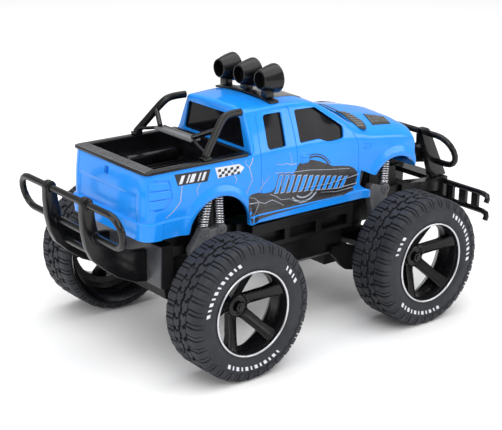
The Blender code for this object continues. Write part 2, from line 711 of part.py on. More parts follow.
def spring_bracket(name, outline, seats, side):
    """An upright plate on the axle with a round seat under each spring."""
    low = side * SPRING_OFFSET - BRACKET_HALF
    high = side * SPRING_OFFSET + BRACKET_HALF
    plate = slab(name, outline, "XZ", low, high)
    bosses = []
    for x, z, radius, top in seats:
        bosses.append(rod("eye_boss", (x, low - 1.0, z), (x, high + 1.0, z), radius, 12, True))
        bosses.append(rod("spring_seat", (x, side * SPRING_OFFSET, z), (x, side * SPRING_OFFSET, top), 4.6, 12, True))
    join(plate, *bosses)
    return paint(plate, "bracket_plastic")


def front_axle_beam():
    """A beam with forked ends that hold the kingpins and two arms that reach back beside the tub."""
    x = HALF_WHEELBASE
    arm = [(46.5, 66.0), (46.5, 58.5), (52.0, 53.0), (58.0, 45.5), (64.0, 40.5), (72.0, 38.5), (100.0, 41.0), (x, 44.0),
           (x, 60.0), (95.0, 60.0), (93.0, 54.0), (82.0, 54.0), (78.0, 60.0), (64.0, 66.0)]
    beam = block("front_axle_beam", (x - 6, -60, 52), (x + 6, 60, 68))
    pieces = []
    holes = []
    for side in (-1, 1):
        def span(a, b):
            return (min(side * a, side * b), max(side * a, side * b))
        wall = span(55, 59)
        ear = span(55, 73)
        pad = span(45, 55)
        pieces.append(block("fork_wall", (x - 6, wall[0], 43), (x + 6, wall[1], 80), True))
        pieces.append(block("fork_top", (x - 6, ear[0], 75.5), (x + 6, ear[1], 80), True))
        pieces.append(block("fork_bottom", (x - 6, ear[0], 43), (x + 6, ear[1], 47.5), True))
        pieces.append(block("bracket_pad", (x - 6, pad[0], 66), (x + 6, pad[1], 72), True))
        pieces.append(slab("radius_arm", arm, "XZ", *span(44.6, 49.6), True))
        pin = (x, side * KINGPIN_OFFSET)
        holes.append(rod("kingpin_hole", (*pin, 40), (*pin, 84), 2.3, 16, True))
    join(beam, *pieces)
    carve(beam, *holes)
    return paint(beam, "chassis_plastic")


def knuckle(side_name, side):
    """A steering knuckle: kingpins, stub axle and a rearward steering arm with its pin."""
    x = HALF_WHEELBASE
    inner = side * (KINGPIN_OFFSET - 4.5)
    outer = side * (KINGPIN_OFFSET + 6.0)
    body = block("knuckle_" + side_name, (x - 5.5, min(inner, outer), 48.2), (x + 5.5, max(inner, outer), 74.8))
    pin = (x, side * KINGPIN_OFFSET)
    pieces = [
        rod("kingpin", (*pin, 43.4), (*pin, 79.6), 1.95, 16, True),
        rod("stub_axle", (x, outer - side, AXLE_HEIGHT), (x, side * (WHEEL_OFFSET - 1.2), AXLE_HEIGHT),
            SHAFT_RADIUS, 16, True),
        block("steer_arm", (TIE_ROD_X - 3, side * KINGPIN_OFFSET - 3, 51), (x - 4, side * KINGPIN_OFFSET + 3, 55.5), True),
        rod("arm_pin", (TIE_ROD_X, side * KINGPIN_OFFSET, 54), (TIE_ROD_X, side * KINGPIN_OFFSET, 61.5), 1.5, 12, True),
    ]
    join(body, *pieces)
    return paint(body, "chassis_plastic")


def tie_rod():
    """A flat rod with fore-and-aft slots for the knuckle pins and the servo horn's pin."""
    bar = block("tie_rod", (TIE_ROD_X - 2.6, -KINGPIN_OFFSET, 56.2), (TIE_ROD_X + 2.6, KINGPIN_OFFSET, 59.4))
    pads = []
    slots = []
    for y in (-KINGPIN_OFFSET, 0.0, KINGPIN_OFFSET):
        pads.append(block("rod_pad", (TIE_ROD_X - 5, y - 4, 56.2), (TIE_ROD_X + 5, y + 4, 59.4), True))
        slots.append(block("rod_slot", (TIE_ROD_X - 3.2, y - 1.95, 50), (TIE_ROD_X + 3.2, y + 1.95, 66), True))
    join(bar, *pads)
    carve(bar, *slots)
    return paint(bar, "bracket_plastic")


def steering_servo():
    x = HALF_WHEELBASE - 6 - GAP
    servo = block("steering_servo", (HORN_X - 10, -19, 36), (TIE_ROD_X - 1, 19, 51.5))
    foot = block("servo_foot", (TIE_ROD_X - 3, -14, 38), (x, 14, 50.5), True)
    shaft = rod("servo_shaft", (HORN_X, 0, 51), (HORN_X, 0, 52.4), 2.6, 12, True)
    return paint(join(servo, foot, shaft), "chassis_plastic")


def servo_horn():
    hub = rod("servo_horn", (HORN_X, 0, 52.7), (HORN_X, 0, 55.6), 4.2, 16)
    arm = block("horn_arm", (HORN_X, -2.2, 53.0), (TIE_ROD_X + 1.5, 2.2, 55.3), True)
    pin = rod("horn_pin", (TIE_ROD_X, 0, 54), (TIE_ROD_X, 0, 61.0), 1.5, 12, True)
    return paint(join(hub, arm, pin), "gear_nylon")


# ---------------------------------------------------------------- wheels

def tyre(name, centre, axis):
    w = TYRE_HALF_WIDTH
    r = TYRE_RADIUS
    outer_bead = RIM_RADIUS + GAP
    inner_bead = RIM_BACK_RADIUS + GAP
    profile = [(outer_bead, w - 1.5), (46, w), (54.5, w - 0.4), (58.6, w - 3.2), (r, w - 8), (r, 8 - w),
               (58.6, 3.2 - w), (54.5, 0.4 - w), (inner_bead, 0.5 - w), (inner_bead, 5.5 - w), (53, 4.4 - w),
               (56, 10 - w), (56, w - 10), (53, w - 4.4), (outer_bead, w - 6.5)]
    return paint(turned(name, profile, centre, axis, 24), "tyre_rubber")


def rim_mesh():
    """A rim barrel, wider at the back, with five spokes that slope out from a recessed hub."""
    w = TYRE_HALF_WIDTH
    wall = RIM_RADIUS - RIM_BARREL_INNER
    back = RIM_BACK_RADIUS
    barrel = [(RIM_RADIUS, w + 0.2), (RIM_RADIUS, 3.5), (back, 0.5), (back, 1.0 - w), (back - wall, 1.0 - w),
              (back - wall, -2.2), (RIM_BARREL_INNER, 1.6), (RIM_BARREL_INNER, w + 0.2)]
    rim = turned("rim_pattern", barrel, (0, 0, 0), (0, 0, 1), 24, True)
    hub = rod("hub_disc", (0, 0, -7), (0, 0, 1.0), 9.5, 20, True)
    hole = rod("hub_hole", (0, 0, -20), (0, 0, 20), SHAFT_RADIUS + 0.35, 16, True)
    spokes = []
    for i in range(SPOKES):
        outline = [(5.0, -5.5), (5.0, 0.4), (12.0, 2.0), (35.2, 19.5), (35.2, 9.0), (14.0, -5.5)]
        spoke = slab("spoke", outline, "XZ", -5.4, 5.4, True)
        spoke.matrix_world = Matrix.Rotation(math.radians(23 + 72 * i), 4, "Z") @ spoke.matrix_world
        spokes.append(spoke)
    join(rim, hub, *spokes)
    carve(rim, hole)
    bpy.context.view_layer.update()
    mesh = bpy.data.meshes.new_from_object(rim.evaluated_get(bpy.context.evaluated_depsgraph_get()))
    mesh.name = "rim"
    return mesh


def rim(name, mesh, centre, side):
    """The pattern's +Z faces outwards."""
    obj = place(name, mesh.copy(), False)
    obj.location = Vector(centre) * MM
    obj.rotation_euler = (math.radians(-90 * side), 0.0, 0.0)
    return paint(obj, "rim_black")


def hub_cap(name, centre, side):
    """A hexagonal cap on the hub."""
    x, y, z = centre
    return paint(rod(name, (x, y + side * 1.3, z), (x, y + side * 5.6, z), 5.6, 6, end_radius=4.6), "rim_black")


def wheel(corner, mesh):
    front = corner.startswith("front")
    side = 1 if corner.endswith("left") else -1
    centre = (HALF_WHEELBASE if front else -HALF_WHEELBASE, side * WHEEL_OFFSET, AXLE_HEIGHT)
    pieces = [tyre("tyre_" + corner, centre, (0, side, 0)), rim("rim_" + corner, mesh, centre, side),
              hub_cap("hub_cap_" + corner, centre, side)]
    if front:
        hang(pivot("wheel_axis_" + corner, centre), *pieces)
    return pieces


def drive_line():
    x = -HALF_WHEELBASE
    reach = WHEEL_OFFSET + 0.7
    shaft = paint(rod("drive_shaft", (x, -reach, AXLE_HEIGHT), (x, reach, AXLE_HEIGHT), SHAFT_RADIUS, 16), "steel")
    final = paint(spur_gear("final_gear", FINAL_TEETH, (x, AXLE_HEIGHT), 8, 16, SHAFT_RADIUS + GAP, 0.0),
                  "gear_nylon")
    pinion = paint(spur_gear("motor_pinion", PINION_TEETH, (MOTOR_X, AXLE_HEIGHT), 7, 17, 1.4,
                             180.0 + 180.0 / PINION_TEETH), "steel")
    return shaft, final, pinion


# ---------------------------------------------------------------- assembly

def build():
    body_shell()
    cab_glazing()
    bed_liner()
    roll_bar()
    lamp_bar()
    for side_name, y in (("left", 29.5), ("centre", 0.0), ("right", -29.5)):
        roof_lamp(side_name, y)
    sunroof_panel()
    cowl_grille()
    front_grille()
    rear_bumper()
    front_guard()
    front_bumper()
    chassis_tub()
    rear_springs = ((-102.0, -97.0), (-84.8, -86.2))
    front_springs = ((107.5, 108.6),)
    shock_tower("shock_tower_rear", rear_springs, -106, -78)
    shock_tower("shock_tower_front", front_springs, 100, 117)
    battery_pack()
    circuit_board()
    switch = power_switch()
    door = battery_door()
    hang(pivot("battery_door_axis", (-11, 22, 50)), door)
    hang(pivot("power_switch_axis", (43.5, 0, 50)), switch)

    rear_pieces = [rear_axle_housing(), gearbox_cover(), drive_motor()]
    front_pieces = [front_axle_beam(), steering_servo()]
    for side_name, side in (("left", 1), ("right", -1)):
        hood_vent(side_name, side)
        headlight(side_name, side)
        rear_seats = ((-102.0, 111.0, 4.6, 116.0), (-84.6, 111.0, 4.6, 116.0))
        front_seats = ((107.5, 112.8, 5.0, 118.2),)
        rear_pieces.append(spring_bracket("rear_bracket_" + side_name, bracket_outline_rear(), rear_seats, side))
        front_pieces.append(spring_bracket("front_bracket_" + side_name, bracket_outline_front(), front_seats, side))
        spring("spring_rear_outer_" + side_name, *rear_springs[0], side, 116.0 + GAP)
        spring("spring_rear_inner_" + side_name, *rear_springs[1], side, 116.0 + GAP)
        spring("spring_front_" + side_name, *front_springs[0], side, 118.2 + GAP)
        hang(pivot("kingpin_axis_" + side_name, (HALF_WHEELBASE, side * KINGPIN_OFFSET, AXLE_HEIGHT)),
             knuckle(side_name, side))
    hang(pivot("front_axle_travel", (HALF_WHEELBASE, 0, AXLE_HEIGHT)), *front_pieces)
    hang(pivot("tie_rod_travel", (TIE_ROD_X, 0, 58)), tie_rod())
    hang(pivot("servo_axis", (HORN_X, 0, 54)), servo_horn())

    mesh = rim_mesh()
    shaft, final, pinion = drive_line()
    rear_wheels = [shaft, final]
    for corner in ("rear_left", "rear_right"):
        rear_wheels += wheel(corner, mesh)
    for corner in ("front_left", "front_right"):
        wheel(corner, mesh)
    hang(pivot("rear_axle_travel", (-HALF_WHEELBASE, 0, AXLE_HEIGHT)), *rear_pieces)
    hang(pivot("rear_wheel_axis", (-HALF_WHEELBASE, 0, AXLE_HEIGHT)), *rear_wheels)
    hang(pivot("pinion_axis", (MOTOR_X, 0, AXLE_HEIGHT)), pinion)


clear_scene()
PARTS = new_collection("rc_monster_truck")
TOOLS = new_collection("construction")
build()
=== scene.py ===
"""Looks of the remote-controlled monster truck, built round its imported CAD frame.

Sizes are in millimetres and MM turns them into metres. +X is forward, +Y is the truck's left.
"""

import functools
import json
from math import ceil, cos, dist, floor, hypot, pi, radians, sin

import bmesh
import bpy
import numpy as np
from mathutils import Matrix, Vector


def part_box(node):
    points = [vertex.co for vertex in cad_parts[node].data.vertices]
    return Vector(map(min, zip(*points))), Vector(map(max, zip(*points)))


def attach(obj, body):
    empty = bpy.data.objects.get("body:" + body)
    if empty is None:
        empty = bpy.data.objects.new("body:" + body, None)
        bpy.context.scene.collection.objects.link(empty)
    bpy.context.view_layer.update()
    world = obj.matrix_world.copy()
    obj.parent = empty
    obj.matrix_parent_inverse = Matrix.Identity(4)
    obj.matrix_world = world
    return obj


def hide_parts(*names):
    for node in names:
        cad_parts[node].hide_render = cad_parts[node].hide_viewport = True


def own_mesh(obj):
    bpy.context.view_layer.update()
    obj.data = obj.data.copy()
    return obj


MM = 0.001
SIDES = (("left", 1), ("right", -1))

# Body
REAR = -164.5
FRONT = 142.3
CAB_REAR = -55
CORNER = 9
HALF_WIDTH = 56
WALL = 1.6
REAR_ARCH = (-91, 111, 32.5)
FRONT_ARCH = (114.5, 113, 32)
# x, crown height, edge half-width, edge height, belt half-width, belt height
STATIONS = [
    (-55, 210, 40.2, 207.5, 55.6, 172.4),
    (-19, 212.4, 42.4, 208.4, 55.6, 172.4),
    (10, 211, 42.6, 207.2, 55.6, 172.2),
    (28, 205.5, 42.4, 203, 55.6, 172),
    (50, 196.8, 48.6, 188.4, 55.7, 170.5),
    (72, 188, 52.4, 174.6, 55.8, 168.5),
    (90, 186, 51, 172.6, 55.8, 166.5),
    (112, 182, 50.2, 170.4, 55.8, 164.5),
    (130, 176.5, 49.2, 168, 55.6, 162),
    (138.8, 171, 47.4, 165.5, 54.8, 159),
    (142.3, 165.5, 45, 161, 53, 156),
]
BODY_SIDE = [(57.4, 154), (58, 138), (57.2, 121), (56.2, 111)]

# Wheels
WHEEL_X = 103
WHEEL_Y = 99.7
WHEEL_Z = 60

# Brackets of both bumpers
BRACKET_Y = 29
BRACKET_HALF = 3.4


# ---------------------------------------------------------------- mesh helpers

def linked(name, data):
    """A new object in the scene round a mesh, lamp or camera."""
    obj = bpy.data.objects.new(name, data)
    bpy.context.scene.collection.objects.link(obj)
    return obj


def mesh_object(name, verts, faces, weld=0.01):
    """A mesh from points in millimetres, welded, with its faces turned out."""
    mesh = bpy.data.meshes.new(name)
    mesh.from_pydata((np.array(verts, float) * MM).tolist(), [], faces)
    shape = bmesh.new()
    shape.from_mesh(mesh)
    if weld:
        bmesh.ops.remove_doubles(shape, verts=shape.verts, dist=weld * MM)
    bmesh.ops.recalc_face_normals(shape, faces=shape.faces)
    shape.to_mesh(mesh)
    shape.free()
    return linked(name, mesh)


def grid_faces(rows, columns, wrap_rows=False, wrap_columns=False):
    """Four-sided faces over a grid of points held row by row."""
    faces = []
    for i in range(rows if wrap_rows else rows - 1):
        for j in range(columns if wrap_columns else columns - 1):
            corners = ((i, j), (i + 1, j), (i + 1, j + 1), (i, j + 1))
            faces.append([(a % rows) * columns + b % columns for a, b in corners])
    return faces


def swept(name, rings, wrap=False):
    """A skin through closed rings of points, capped at both ends unless it wraps."""
    columns = len(rings[0])
    faces = grid_faces(len(rings), columns, wrap, True)
    if not wrap:
        last = (len(rings) - 1) * columns
        faces += [list(range(columns)), list(range(last, last + columns))]
    return mesh_object(name, [point for ring in rings for point in ring], faces)


def turned(name, profile, steps):
    """A profile of (radius, height) turned about Z. A closed profile makes a ring."""
    rings = []
    for i in range(steps):
        a = 2 * pi * i / steps
        rings.append([(r * cos(a), r * sin(a), h) for r, h in profile])
    return swept(name, rings, wrap=True)


def solid_turned(name, points, steps):
    """A profile turned about Z and closed down to the axis at both ends."""
    profile = [(0, points[0][1])] + points + [(0, points[-1][1])]
    verts = []
    for i in range(steps):
        a = 2 * pi * i / steps
        verts += [(r * cos(a), r * sin(a), h) for r, h in profile]
    return mesh_object(name, verts, grid_faces(steps, len(profile), True))


def rounded(points, trim, count, closed=False):
    """The same line with its corners cut back by trim and bent round."""
    points = [Vector(p) for p in points]
    made = []
    n = len(points)
    for i, point in enumerate(points):
        if not closed and i in (0, n - 1):
            made.append(tuple(point))
            continue
        before, after = points[i - 1], points[(i + 1) % n]
        reach = min(trim, (before - point).length * 0.49, (after - point).length * 0.49)
        a = point + (before - point).normalized() * reach
        b = point + (after - point).normalized() * reach
        for k in range(count + 1):
            t = k / count
            made.append(tuple(a * (1 - t) ** 2 + point * 2 * t * (1 - t) + b * t * t))
    return made


def tube(name, points, radius, sides, closed=False, flat=1, flat_axis=(0, 0, 1)):
    """A round bar along a line, or a flattened one."""
    points = [Vector(p) for p in points]
    n = len(points)
    rings = []
    normal = None
    for i, point in enumerate(points):
        ahead = points[(i + 1) % n] if closed or i < n - 1 else point
        behind = points[i - 1] if closed or i > 0 else point
        along = (ahead - behind).normalized()
        if normal is None:
            start = Vector(flat_axis)
            if abs(start.dot(along)) > 0.95:
                start = Vector((0, 1, 0))
            normal = start
        normal = (normal - along * normal.dot(along)).normalized()
        across = along.cross(normal)
        ring = []
        for k in range(sides):
            a = 2 * pi * k / sides
            ring.append(point + normal * (radius * flat * cos(a)) + across * (radius * sin(a)))
        rings.append(ring)
    return swept(name, rings, wrap=closed)


def slab(name, outline, plane, low, high):
    """A flat outline, thick from low to high along its plane's third axis."""
    n = len(outline)
    verts = [{"XY": (u, v, w), "XZ": (u, w, v), "YZ": (w, u, v)}[plane]
             for w in (low, high) for u, v in outline]
    faces = [list(range(n)), list(range(2 * n - 1, n - 1, -1))]
    faces += [[i, (i + 1) % n, n + (i + 1) % n, n + i] for i in range(n)]
    return mesh_object(name, verts, faces)


def rectangle(low_u, low_v, high_u, high_v):
    return [(low_u, low_v), (high_u, low_v), (high_u, high_v), (low_u, high_v)]


def block(name, low, high):
    return slab(name, rectangle(*low[:2], *high[:2]), "XY", low[2], high[2])


def soft_block(name, low, high, width=0.5, segments=2):
    return settled(soften(block(name, low, high), width, segments))


def soft_plate(name, outline, low, high, width, segments=2):
    """An upright plate across the truck, with rounded edges."""
    return settled(soften(slab(name, outline, "XZ", low, high), width, segments))


def arc(centre, radius, start, end, count):
    """Points round part of a circle, from one angle in degrees to another."""
    steps = [radians(start + (end - start) * i / (count - 1)) for i in range(count)]
    return [(centre[0] + radius * cos(a), centre[1] + radius * sin(a)) for a in steps]


def circle(centre, radius, count):
    steps = [2 * pi * k / count for k in range(count)]
    return [(centre[0] + radius * cos(a), centre[1] + radius * sin(a)) for a in steps]


def joined(first, *others):
    """One object from several, each left a closed body."""
    shape = bmesh.new()
    for obj in (first, *others):
        start = len(shape.verts)
        shape.from_mesh(obj.data)
        shape.verts.ensure_lookup_table()
        bmesh.ops.transform(shape, matrix=obj.matrix_world, verts=shape.verts[start:])
    for obj in others:
        bpy.data.objects.remove(obj)
    shape.to_mesh(first.data)
    shape.free()
    first.matrix_world = Matrix.Identity(4)
    return first


def moved(obj, matrix):
    obj.data.transform(matrix)
    return obj


def placed(x, y, z):
    return Matrix.Translation(Vector((x, y, z)) * MM)


def facing(side):
    """Turns a shape made about Z to lie along Y, its upper end towards +Y or -Y."""
    return Matrix.Rotation(-side * pi / 2, 4, "X")


def settled(obj):
    """Applies an object's modifiers to its mesh."""
    bpy.context.view_layer.update()
    mesh = bpy.data.meshes.new_from_object(obj.evaluated_get(bpy.context.evaluated_depsgraph_get()))
    obj.modifiers.clear()
    obj.data = mesh
    return obj


SHARP_EDGE = 32


def soften(obj, width, segments=2):
    """Rounds every edge that turns by more than SHARP_EDGE degrees."""
    bevel = obj.modifiers.new("edges", "BEVEL")
    bevel.width = width * MM
    bevel.segments = segments
    bevel.limit_method = "ANGLE"
    bevel.angle_limit = radians(SHARP_EDGE)
    return obj


def cut_by(obj, cutters):
    """Cuts with one tool after another, as the tools may cross each other."""
    for tool in cutters:
        step = obj.modifiers.new("cut", "BOOLEAN")
        step.operation = "DIFFERENCE"
        step.solver = "EXACT"
        step.object = tool
        settled(obj)
        bpy.data.objects.remove(tool)
    return obj


def dressed(obj, look):
    obj.data.materials.clear()
    obj.data.materials.append(FINISH[look])


def piece(obj, name, look, *nodes, body="chassis", slot=None, angle=35):
    """Finishes a piece: name, shading, finish, the body it rides on and the CAD it replaces; its slot is not
    used.
    """
    obj.name = name
    obj.data.shade_smooth()
    obj.data.set_sharp_from_angle(angle=radians(angle))
    dressed(obj, look)
    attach(obj, body)
    slot or look
    if nodes:
        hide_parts(*nodes)
    return obj


# ---------------------------------------------------------------- materials

def node(tree, kind, **inputs):
    """A shader node with some of its inputs set."""
    made = tree.nodes.new(kind)
    for name, value in inputs.items():
        made.inputs[name.replace("_", " ")].default_value = value
    return made


def noise(tree, scale, detail=3, roughness=0.55, stretch=None):
    """Noise in the object's own metres, so its grain keeps one real size."""
    coordinates = tree.nodes.new("ShaderNodeTexCoord")
    texture = node(tree, "ShaderNodeTexNoise", Scale=scale, Detail=detail, Roughness=roughness)
    source = coordinates.outputs["Object"]
    if stretch:
        mapping = tree.nodes.new("ShaderNodeMapping")
        mapping.inputs["Scale"].default_value = stretch
        tree.links.new(source, mapping.inputs["Vector"])
        source = mapping.outputs["Vector"]
    tree.links.new(source, texture.inputs["Vector"])
    return texture.outputs["Fac"]


def ramp(tree, source, low, high, low_value, high_value):
    """Maps a grey value onto another range."""
    made = tree.nodes.new("ShaderNodeMapRange")
    for name, value in zip(("From Min", "From Max", "To Min", "To Max"), (low, high, low_value, high_value)):
        made.inputs[name].default_value = value
    tree.links.new(source, made.inputs["Value"])
    return made.outputs["Result"]


def mixed(tree, factor, first, second):
    """Blends two colours, each given as a value or a socket."""
    made = tree.nodes.new("ShaderNodeMix")
    made.data_type = "RGBA"
    for socket, value in ((made.inputs[6], first), (made.inputs[7], second)):
        if isinstance(value, bpy.types.NodeSocket):
            tree.links.new(value, socket)
        else:
            socket.default_value = (*value, 1)
    tree.links.new(factor, made.inputs[0])
    return made.outputs[2]


def bumped(tree, shader, height, strength, distance):
    """Fine relief on a shader."""
    bump = node(tree, "ShaderNodeBump", Strength=strength, Distance=distance)
    tree.links.new(height, bump.inputs["Height"])
    tree.links.new(bump.outputs["Normal"], shader.inputs["Normal"])


def surface(name, colour, second, rough, spread, grain, grain_scale, wear=0, coat=0, metallic=0,
            mottle=60, specular=0.5):
    """A moulded or metal surface: colour drift, uneven gloss, fine grain and rubbed patches."""
    material = bpy.data.materials.new(name)
    material.use_nodes = True
    tree = material.node_tree
    shader = tree.nodes["Principled BSDF"]
    shader.inputs["Metallic"].default_value = metallic
    shader.inputs["Specular IOR Level"].default_value = specular
    if coat:
        shader.inputs["Coat Weight"].default_value = coat
        shader.inputs["Coat Roughness"].default_value = 0.06
    drift = ramp(tree, noise(tree, mottle, 4), 0.35, 0.65, 0, 1)
    base = mixed(tree, drift, colour, second)
    if wear:
        scuffs = ramp(tree, noise(tree, 420, 5, 0.7, (1, 0.25, 1)), 0.58, 0.72, 0, 1)
        patch = ramp(tree, noise(tree, 90, 3), 0.52, 0.68, 0, 0.7)
        both = node(tree, "ShaderNodeMath")
        both.operation = "MULTIPLY"
        tree.links.new(scuffs, both.inputs[0])
        tree.links.new(patch, both.inputs[1])
        base = mixed(tree, both.outputs[0], base, tuple(min(1, c + wear) for c in colour))
    tree.links.new(base, shader.inputs["Base Color"])
    gloss = ramp(tree, noise(tree, 150, 5, 0.65), 0.3, 0.7, rough - spread, rough + spread)
    tree.links.new(gloss, shader.inputs["Roughness"])
    bumped(tree, shader, noise(tree, grain_scale, 3), grain, 0.0002)
    return material


# the record's slots first, then finishes that only dress a part
# colour, second colour, roughness, its spread, strength and scale of the grain, and what else differs
LOOKS = {
    "body_blue": ((0.01, 0.262, 0.88), (0.014, 0.284, 0.92), 0.19, 0.05, 0.05, 900,
                  dict(coat=0.15, mottle=25, specular=0.32)),
    "tinted_glazing": ((0.004, 0.004, 0.006), (0.007, 0.007, 0.009), 0.09, 0.03, 0.02, 300,
                       dict(specular=0.11)),
    "black_plastic": ((0.003, 0.003, 0.004), (0.006, 0.006, 0.007), 0.2, 0.05, 0.1, 2600,
                      dict(wear=0.04, specular=0.36)),
    "vent_plastic": ((0.03, 0.03, 0.031), (0.045, 0.045, 0.046), 0.35, 0.08, 0.15, 2200, dict(specular=0.4)),
    "lamp_clear": ((0.6, 0.62, 0.66), (0.7, 0.72, 0.75), 0.1, 0.04, 0.1, 700, dict(coat=0.6)),
    "chassis_plastic": ((0.0025, 0.0025, 0.003), (0.005, 0.005, 0.006), 0.34, 0.08, 0.25, 2400,
                        dict(wear=0.03, specular=0.2)),
    "bracket_plastic": ((0.1, 0.102, 0.11), (0.14, 0.142, 0.152), 0.3, 0.08, 0.2, 2000,
                        dict(wear=0.06, specular=0.4)),
    "tyre_rubber": ((0.017, 0.018, 0.023), (0.026, 0.027, 0.033), 0.6, 0.09, 0.4, 1900,
                    dict(wear=0.04, mottle=45, specular=0.3)),
    "rim_black": ((0.003, 0.003, 0.004), (0.006, 0.006, 0.007), 0.25, 0.06, 0.08, 1500,
                  dict(wear=0.03, specular=0.3)),
    "steel": ((0.62, 0.62, 0.64), (0.5, 0.5, 0.53), 0.2, 0.08, 0.15, 1500, dict(metallic=1)),
    "gear_nylon": ((0.72, 0.71, 0.64), (0.64, 0.63, 0.56), 0.45, 0.06, 0.2, 1600, {}),
    "battery_wrap": ((0.03, 0.14, 0.05), (0.04, 0.18, 0.06), 0.35, 0.06, 0.15, 900, {}),
    "board_green": ((0.01, 0.09, 0.03), (0.015, 0.13, 0.045), 0.4, 0.07, 0.3, 1500, {}),
    "slat_grey": ((0.13, 0.128, 0.12), (0.2, 0.195, 0.185), 0.3, 0.08, 0.2, 2000, {}),
    # chassis plastic made lighter grey: painted light on the lit back face of the chassis
    "chassis_painted_light": ((0.045, 0.046, 0.052), (0.065, 0.066, 0.074), 0.32, 0.08, 0.2, 2000, {}),
    # grey of the roll bar plate; on the bed cap ribs the same grey is a painted highlight on black plastic
    "grey_plate_and_rib_highlight": ((0.13, 0.132, 0.14), (0.17, 0.172, 0.18), 0.3, 0.08, 0.2, 2000, {}),
    # smoked glass made lighter grey than the tinted glazing: a painted reflection on the sunroof
    "roof_glass_painted_reflection": ((0.11, 0.106, 0.102), (0.14, 0.136, 0.132), 0.12, 0.04, 0.02, 300, dict(specular=0.7)),
    "print_dark": ((0.02, 0.02, 0.023), (0.036, 0.035, 0.038), 0.3, 0.06, 0.06, 1200, {}),
    "print_black": ((0.008, 0.008, 0.01), (0.014, 0.014, 0.017), 0.3, 0.06, 0.06, 1200, {}),
    "print_grey": ((0.3, 0.34, 0.4), (0.42, 0.46, 0.54), 0.3, 0.06, 0.06, 1200, {}),
    "print_white": ((0.62, 0.64, 0.7), (0.72, 0.74, 0.78), 0.35, 0.06, 0.06, 1200, {}),
}
FINISH = {}


# ---------------------------------------------------------------- body surface

def curve_through(xs, ys):
    """A smooth function through the points that never overshoots them."""
    xs, ys = np.array(xs, float), np.array(ys, float)
    gaps = np.diff(xs)
    slopes = np.diff(ys) / gaps
    tangents = np.zeros(len(xs))
    tangents[0], tangents[-1] = slopes[0], slopes[-1]
    for i in range(1, len(xs) - 1):
        before, after = slopes[i - 1], slopes[i]
        if before * after > 0:
            a, b = 2 * gaps[i] + gaps[i - 1], gaps[i] + 2 * gaps[i - 1]
            tangents[i] = (a + b) / (a / before + b / after)

    def value(x):
        x = np.clip(x, xs[0], xs[-1])
        i = np.clip(np.searchsorted(xs, x) - 1, 0, len(gaps) - 1)
        t = (x - xs[i]) / gaps[i]
        ends = ys[i] * (1 + 2 * t) * (1 - t) ** 2 + ys[i + 1] * t * t * (3 - 2 * t)
        return ends + gaps[i] * (tangents[i] * t * (1 - t) ** 2 + tangents[i + 1] * t * t * (t - 1))

    return value


STATION_CURVES = [curve_through([s[0] for s in STATIONS], [s[k] for s in STATIONS]) for k in range(1, 6)]


SECTION_STEP = 0.5
SECTION_BLUR = 8
NOSE = 125
NOSE_TAPER = 2


@functools.lru_cache(maxsize=None)
def section(x):
    """(y values, z values) from the crown to the bottom edge at one x, with rounded corners."""
    crown, edge_y, edge_z, belt_y, belt_z = [float(curve(x)) for curve in STATION_CURVES]
    fall = crown - edge_z
    taper = max(0, (x - NOSE) / (FRONT - NOSE)) * NOSE_TAPER
    points = [(0, crown), (edge_y * 0.55, crown - 0.25 * fall), (edge_y * 0.9, crown - 0.7 * fall),
              (edge_y, edge_z), ((edge_y + belt_y) / 2 + 0.4, (edge_z + belt_z) / 2), (belt_y, belt_z)]
    points += [(y - taper, z) for y, z in BODY_SIDE]
    lengths = np.concatenate([[0], np.cumsum([dist(a, b) for a, b in zip(points, points[1:])])])
    at = np.arange(0, lengths[-1], SECTION_STEP)
    y = np.interp(at, lengths, [p[0] for p in points])
    z = np.interp(at, lengths, [p[1] for p in points])
    half = SECTION_BLUR
    window = np.hanning(2 * half + 3)[1:-1]
    window /= window.sum()
    y_long = np.concatenate([-y[half:0:-1], y, 2 * y[-1] - y[-2:-half - 2:-1]])
    z_long = np.concatenate([z[half:0:-1], z, 2 * z[-1] - z[-2:-half - 2:-1]])
    return np.convolve(y_long, window, "valid"), np.convolve(z_long, window, "valid")


def side_y(x, z):
    """Half-width of the body at one place on its side."""
    y, heights = section(round(max(x, CAB_REAR) * 2) / 2)
    return float(np.interp(z, heights[::-1], y[::-1]))


def top_z(x, y):
    """Height of the roof or hood."""
    widths, z = section(round(x * 2) / 2)
    rising = int(np.argmax(widths > 50)) or len(widths)
    return float(np.interp(abs(y), widths[:rising], z[:rising]))


def step_up(value, start, end):
    """Goes smoothly from 0 at start to 1 at end."""
    t = min(1, max(0, (value - start) / (end - start)))
    return t * t * (3 - 2 * t)


# how far each raised part of the side stands out
FLARE = 2.3
ROCKER = 1.1
BUMPER_END = 2.5
BED_SKIRT = 0.9
TAILGATE_CREASE = 0.9


def relief(u, z):
    """How far arch flares, rocker, bed skirt and bumper end stand out of the plain side."""
    out = 0
    for cx, cz, radius in (REAR_ARCH, FRONT_ARCH):
        d = hypot(u - cx, z - cz) - radius
        if d < 11 and z < 158:
            out = max(out, FLARE * step_up(d, 10, 2.6) * (1 - 0.35 * step_up(d, 2, -1)))
    in_cab = step_up(u, -60, -57) * (1 - step_up(u, 80, 84))
    out += ROCKER * in_cab * (1 - step_up(z, 118.2, 119.2))
    at_rear = 1 - step_up(u, -150.5, -149.3)
    low = BUMPER_END * at_rear + BED_SKIRT * (1 - at_rear) * (1 - step_up(u, -124, -121))
    out += low * (1 - step_up(z, 131, 132.2))
    return out


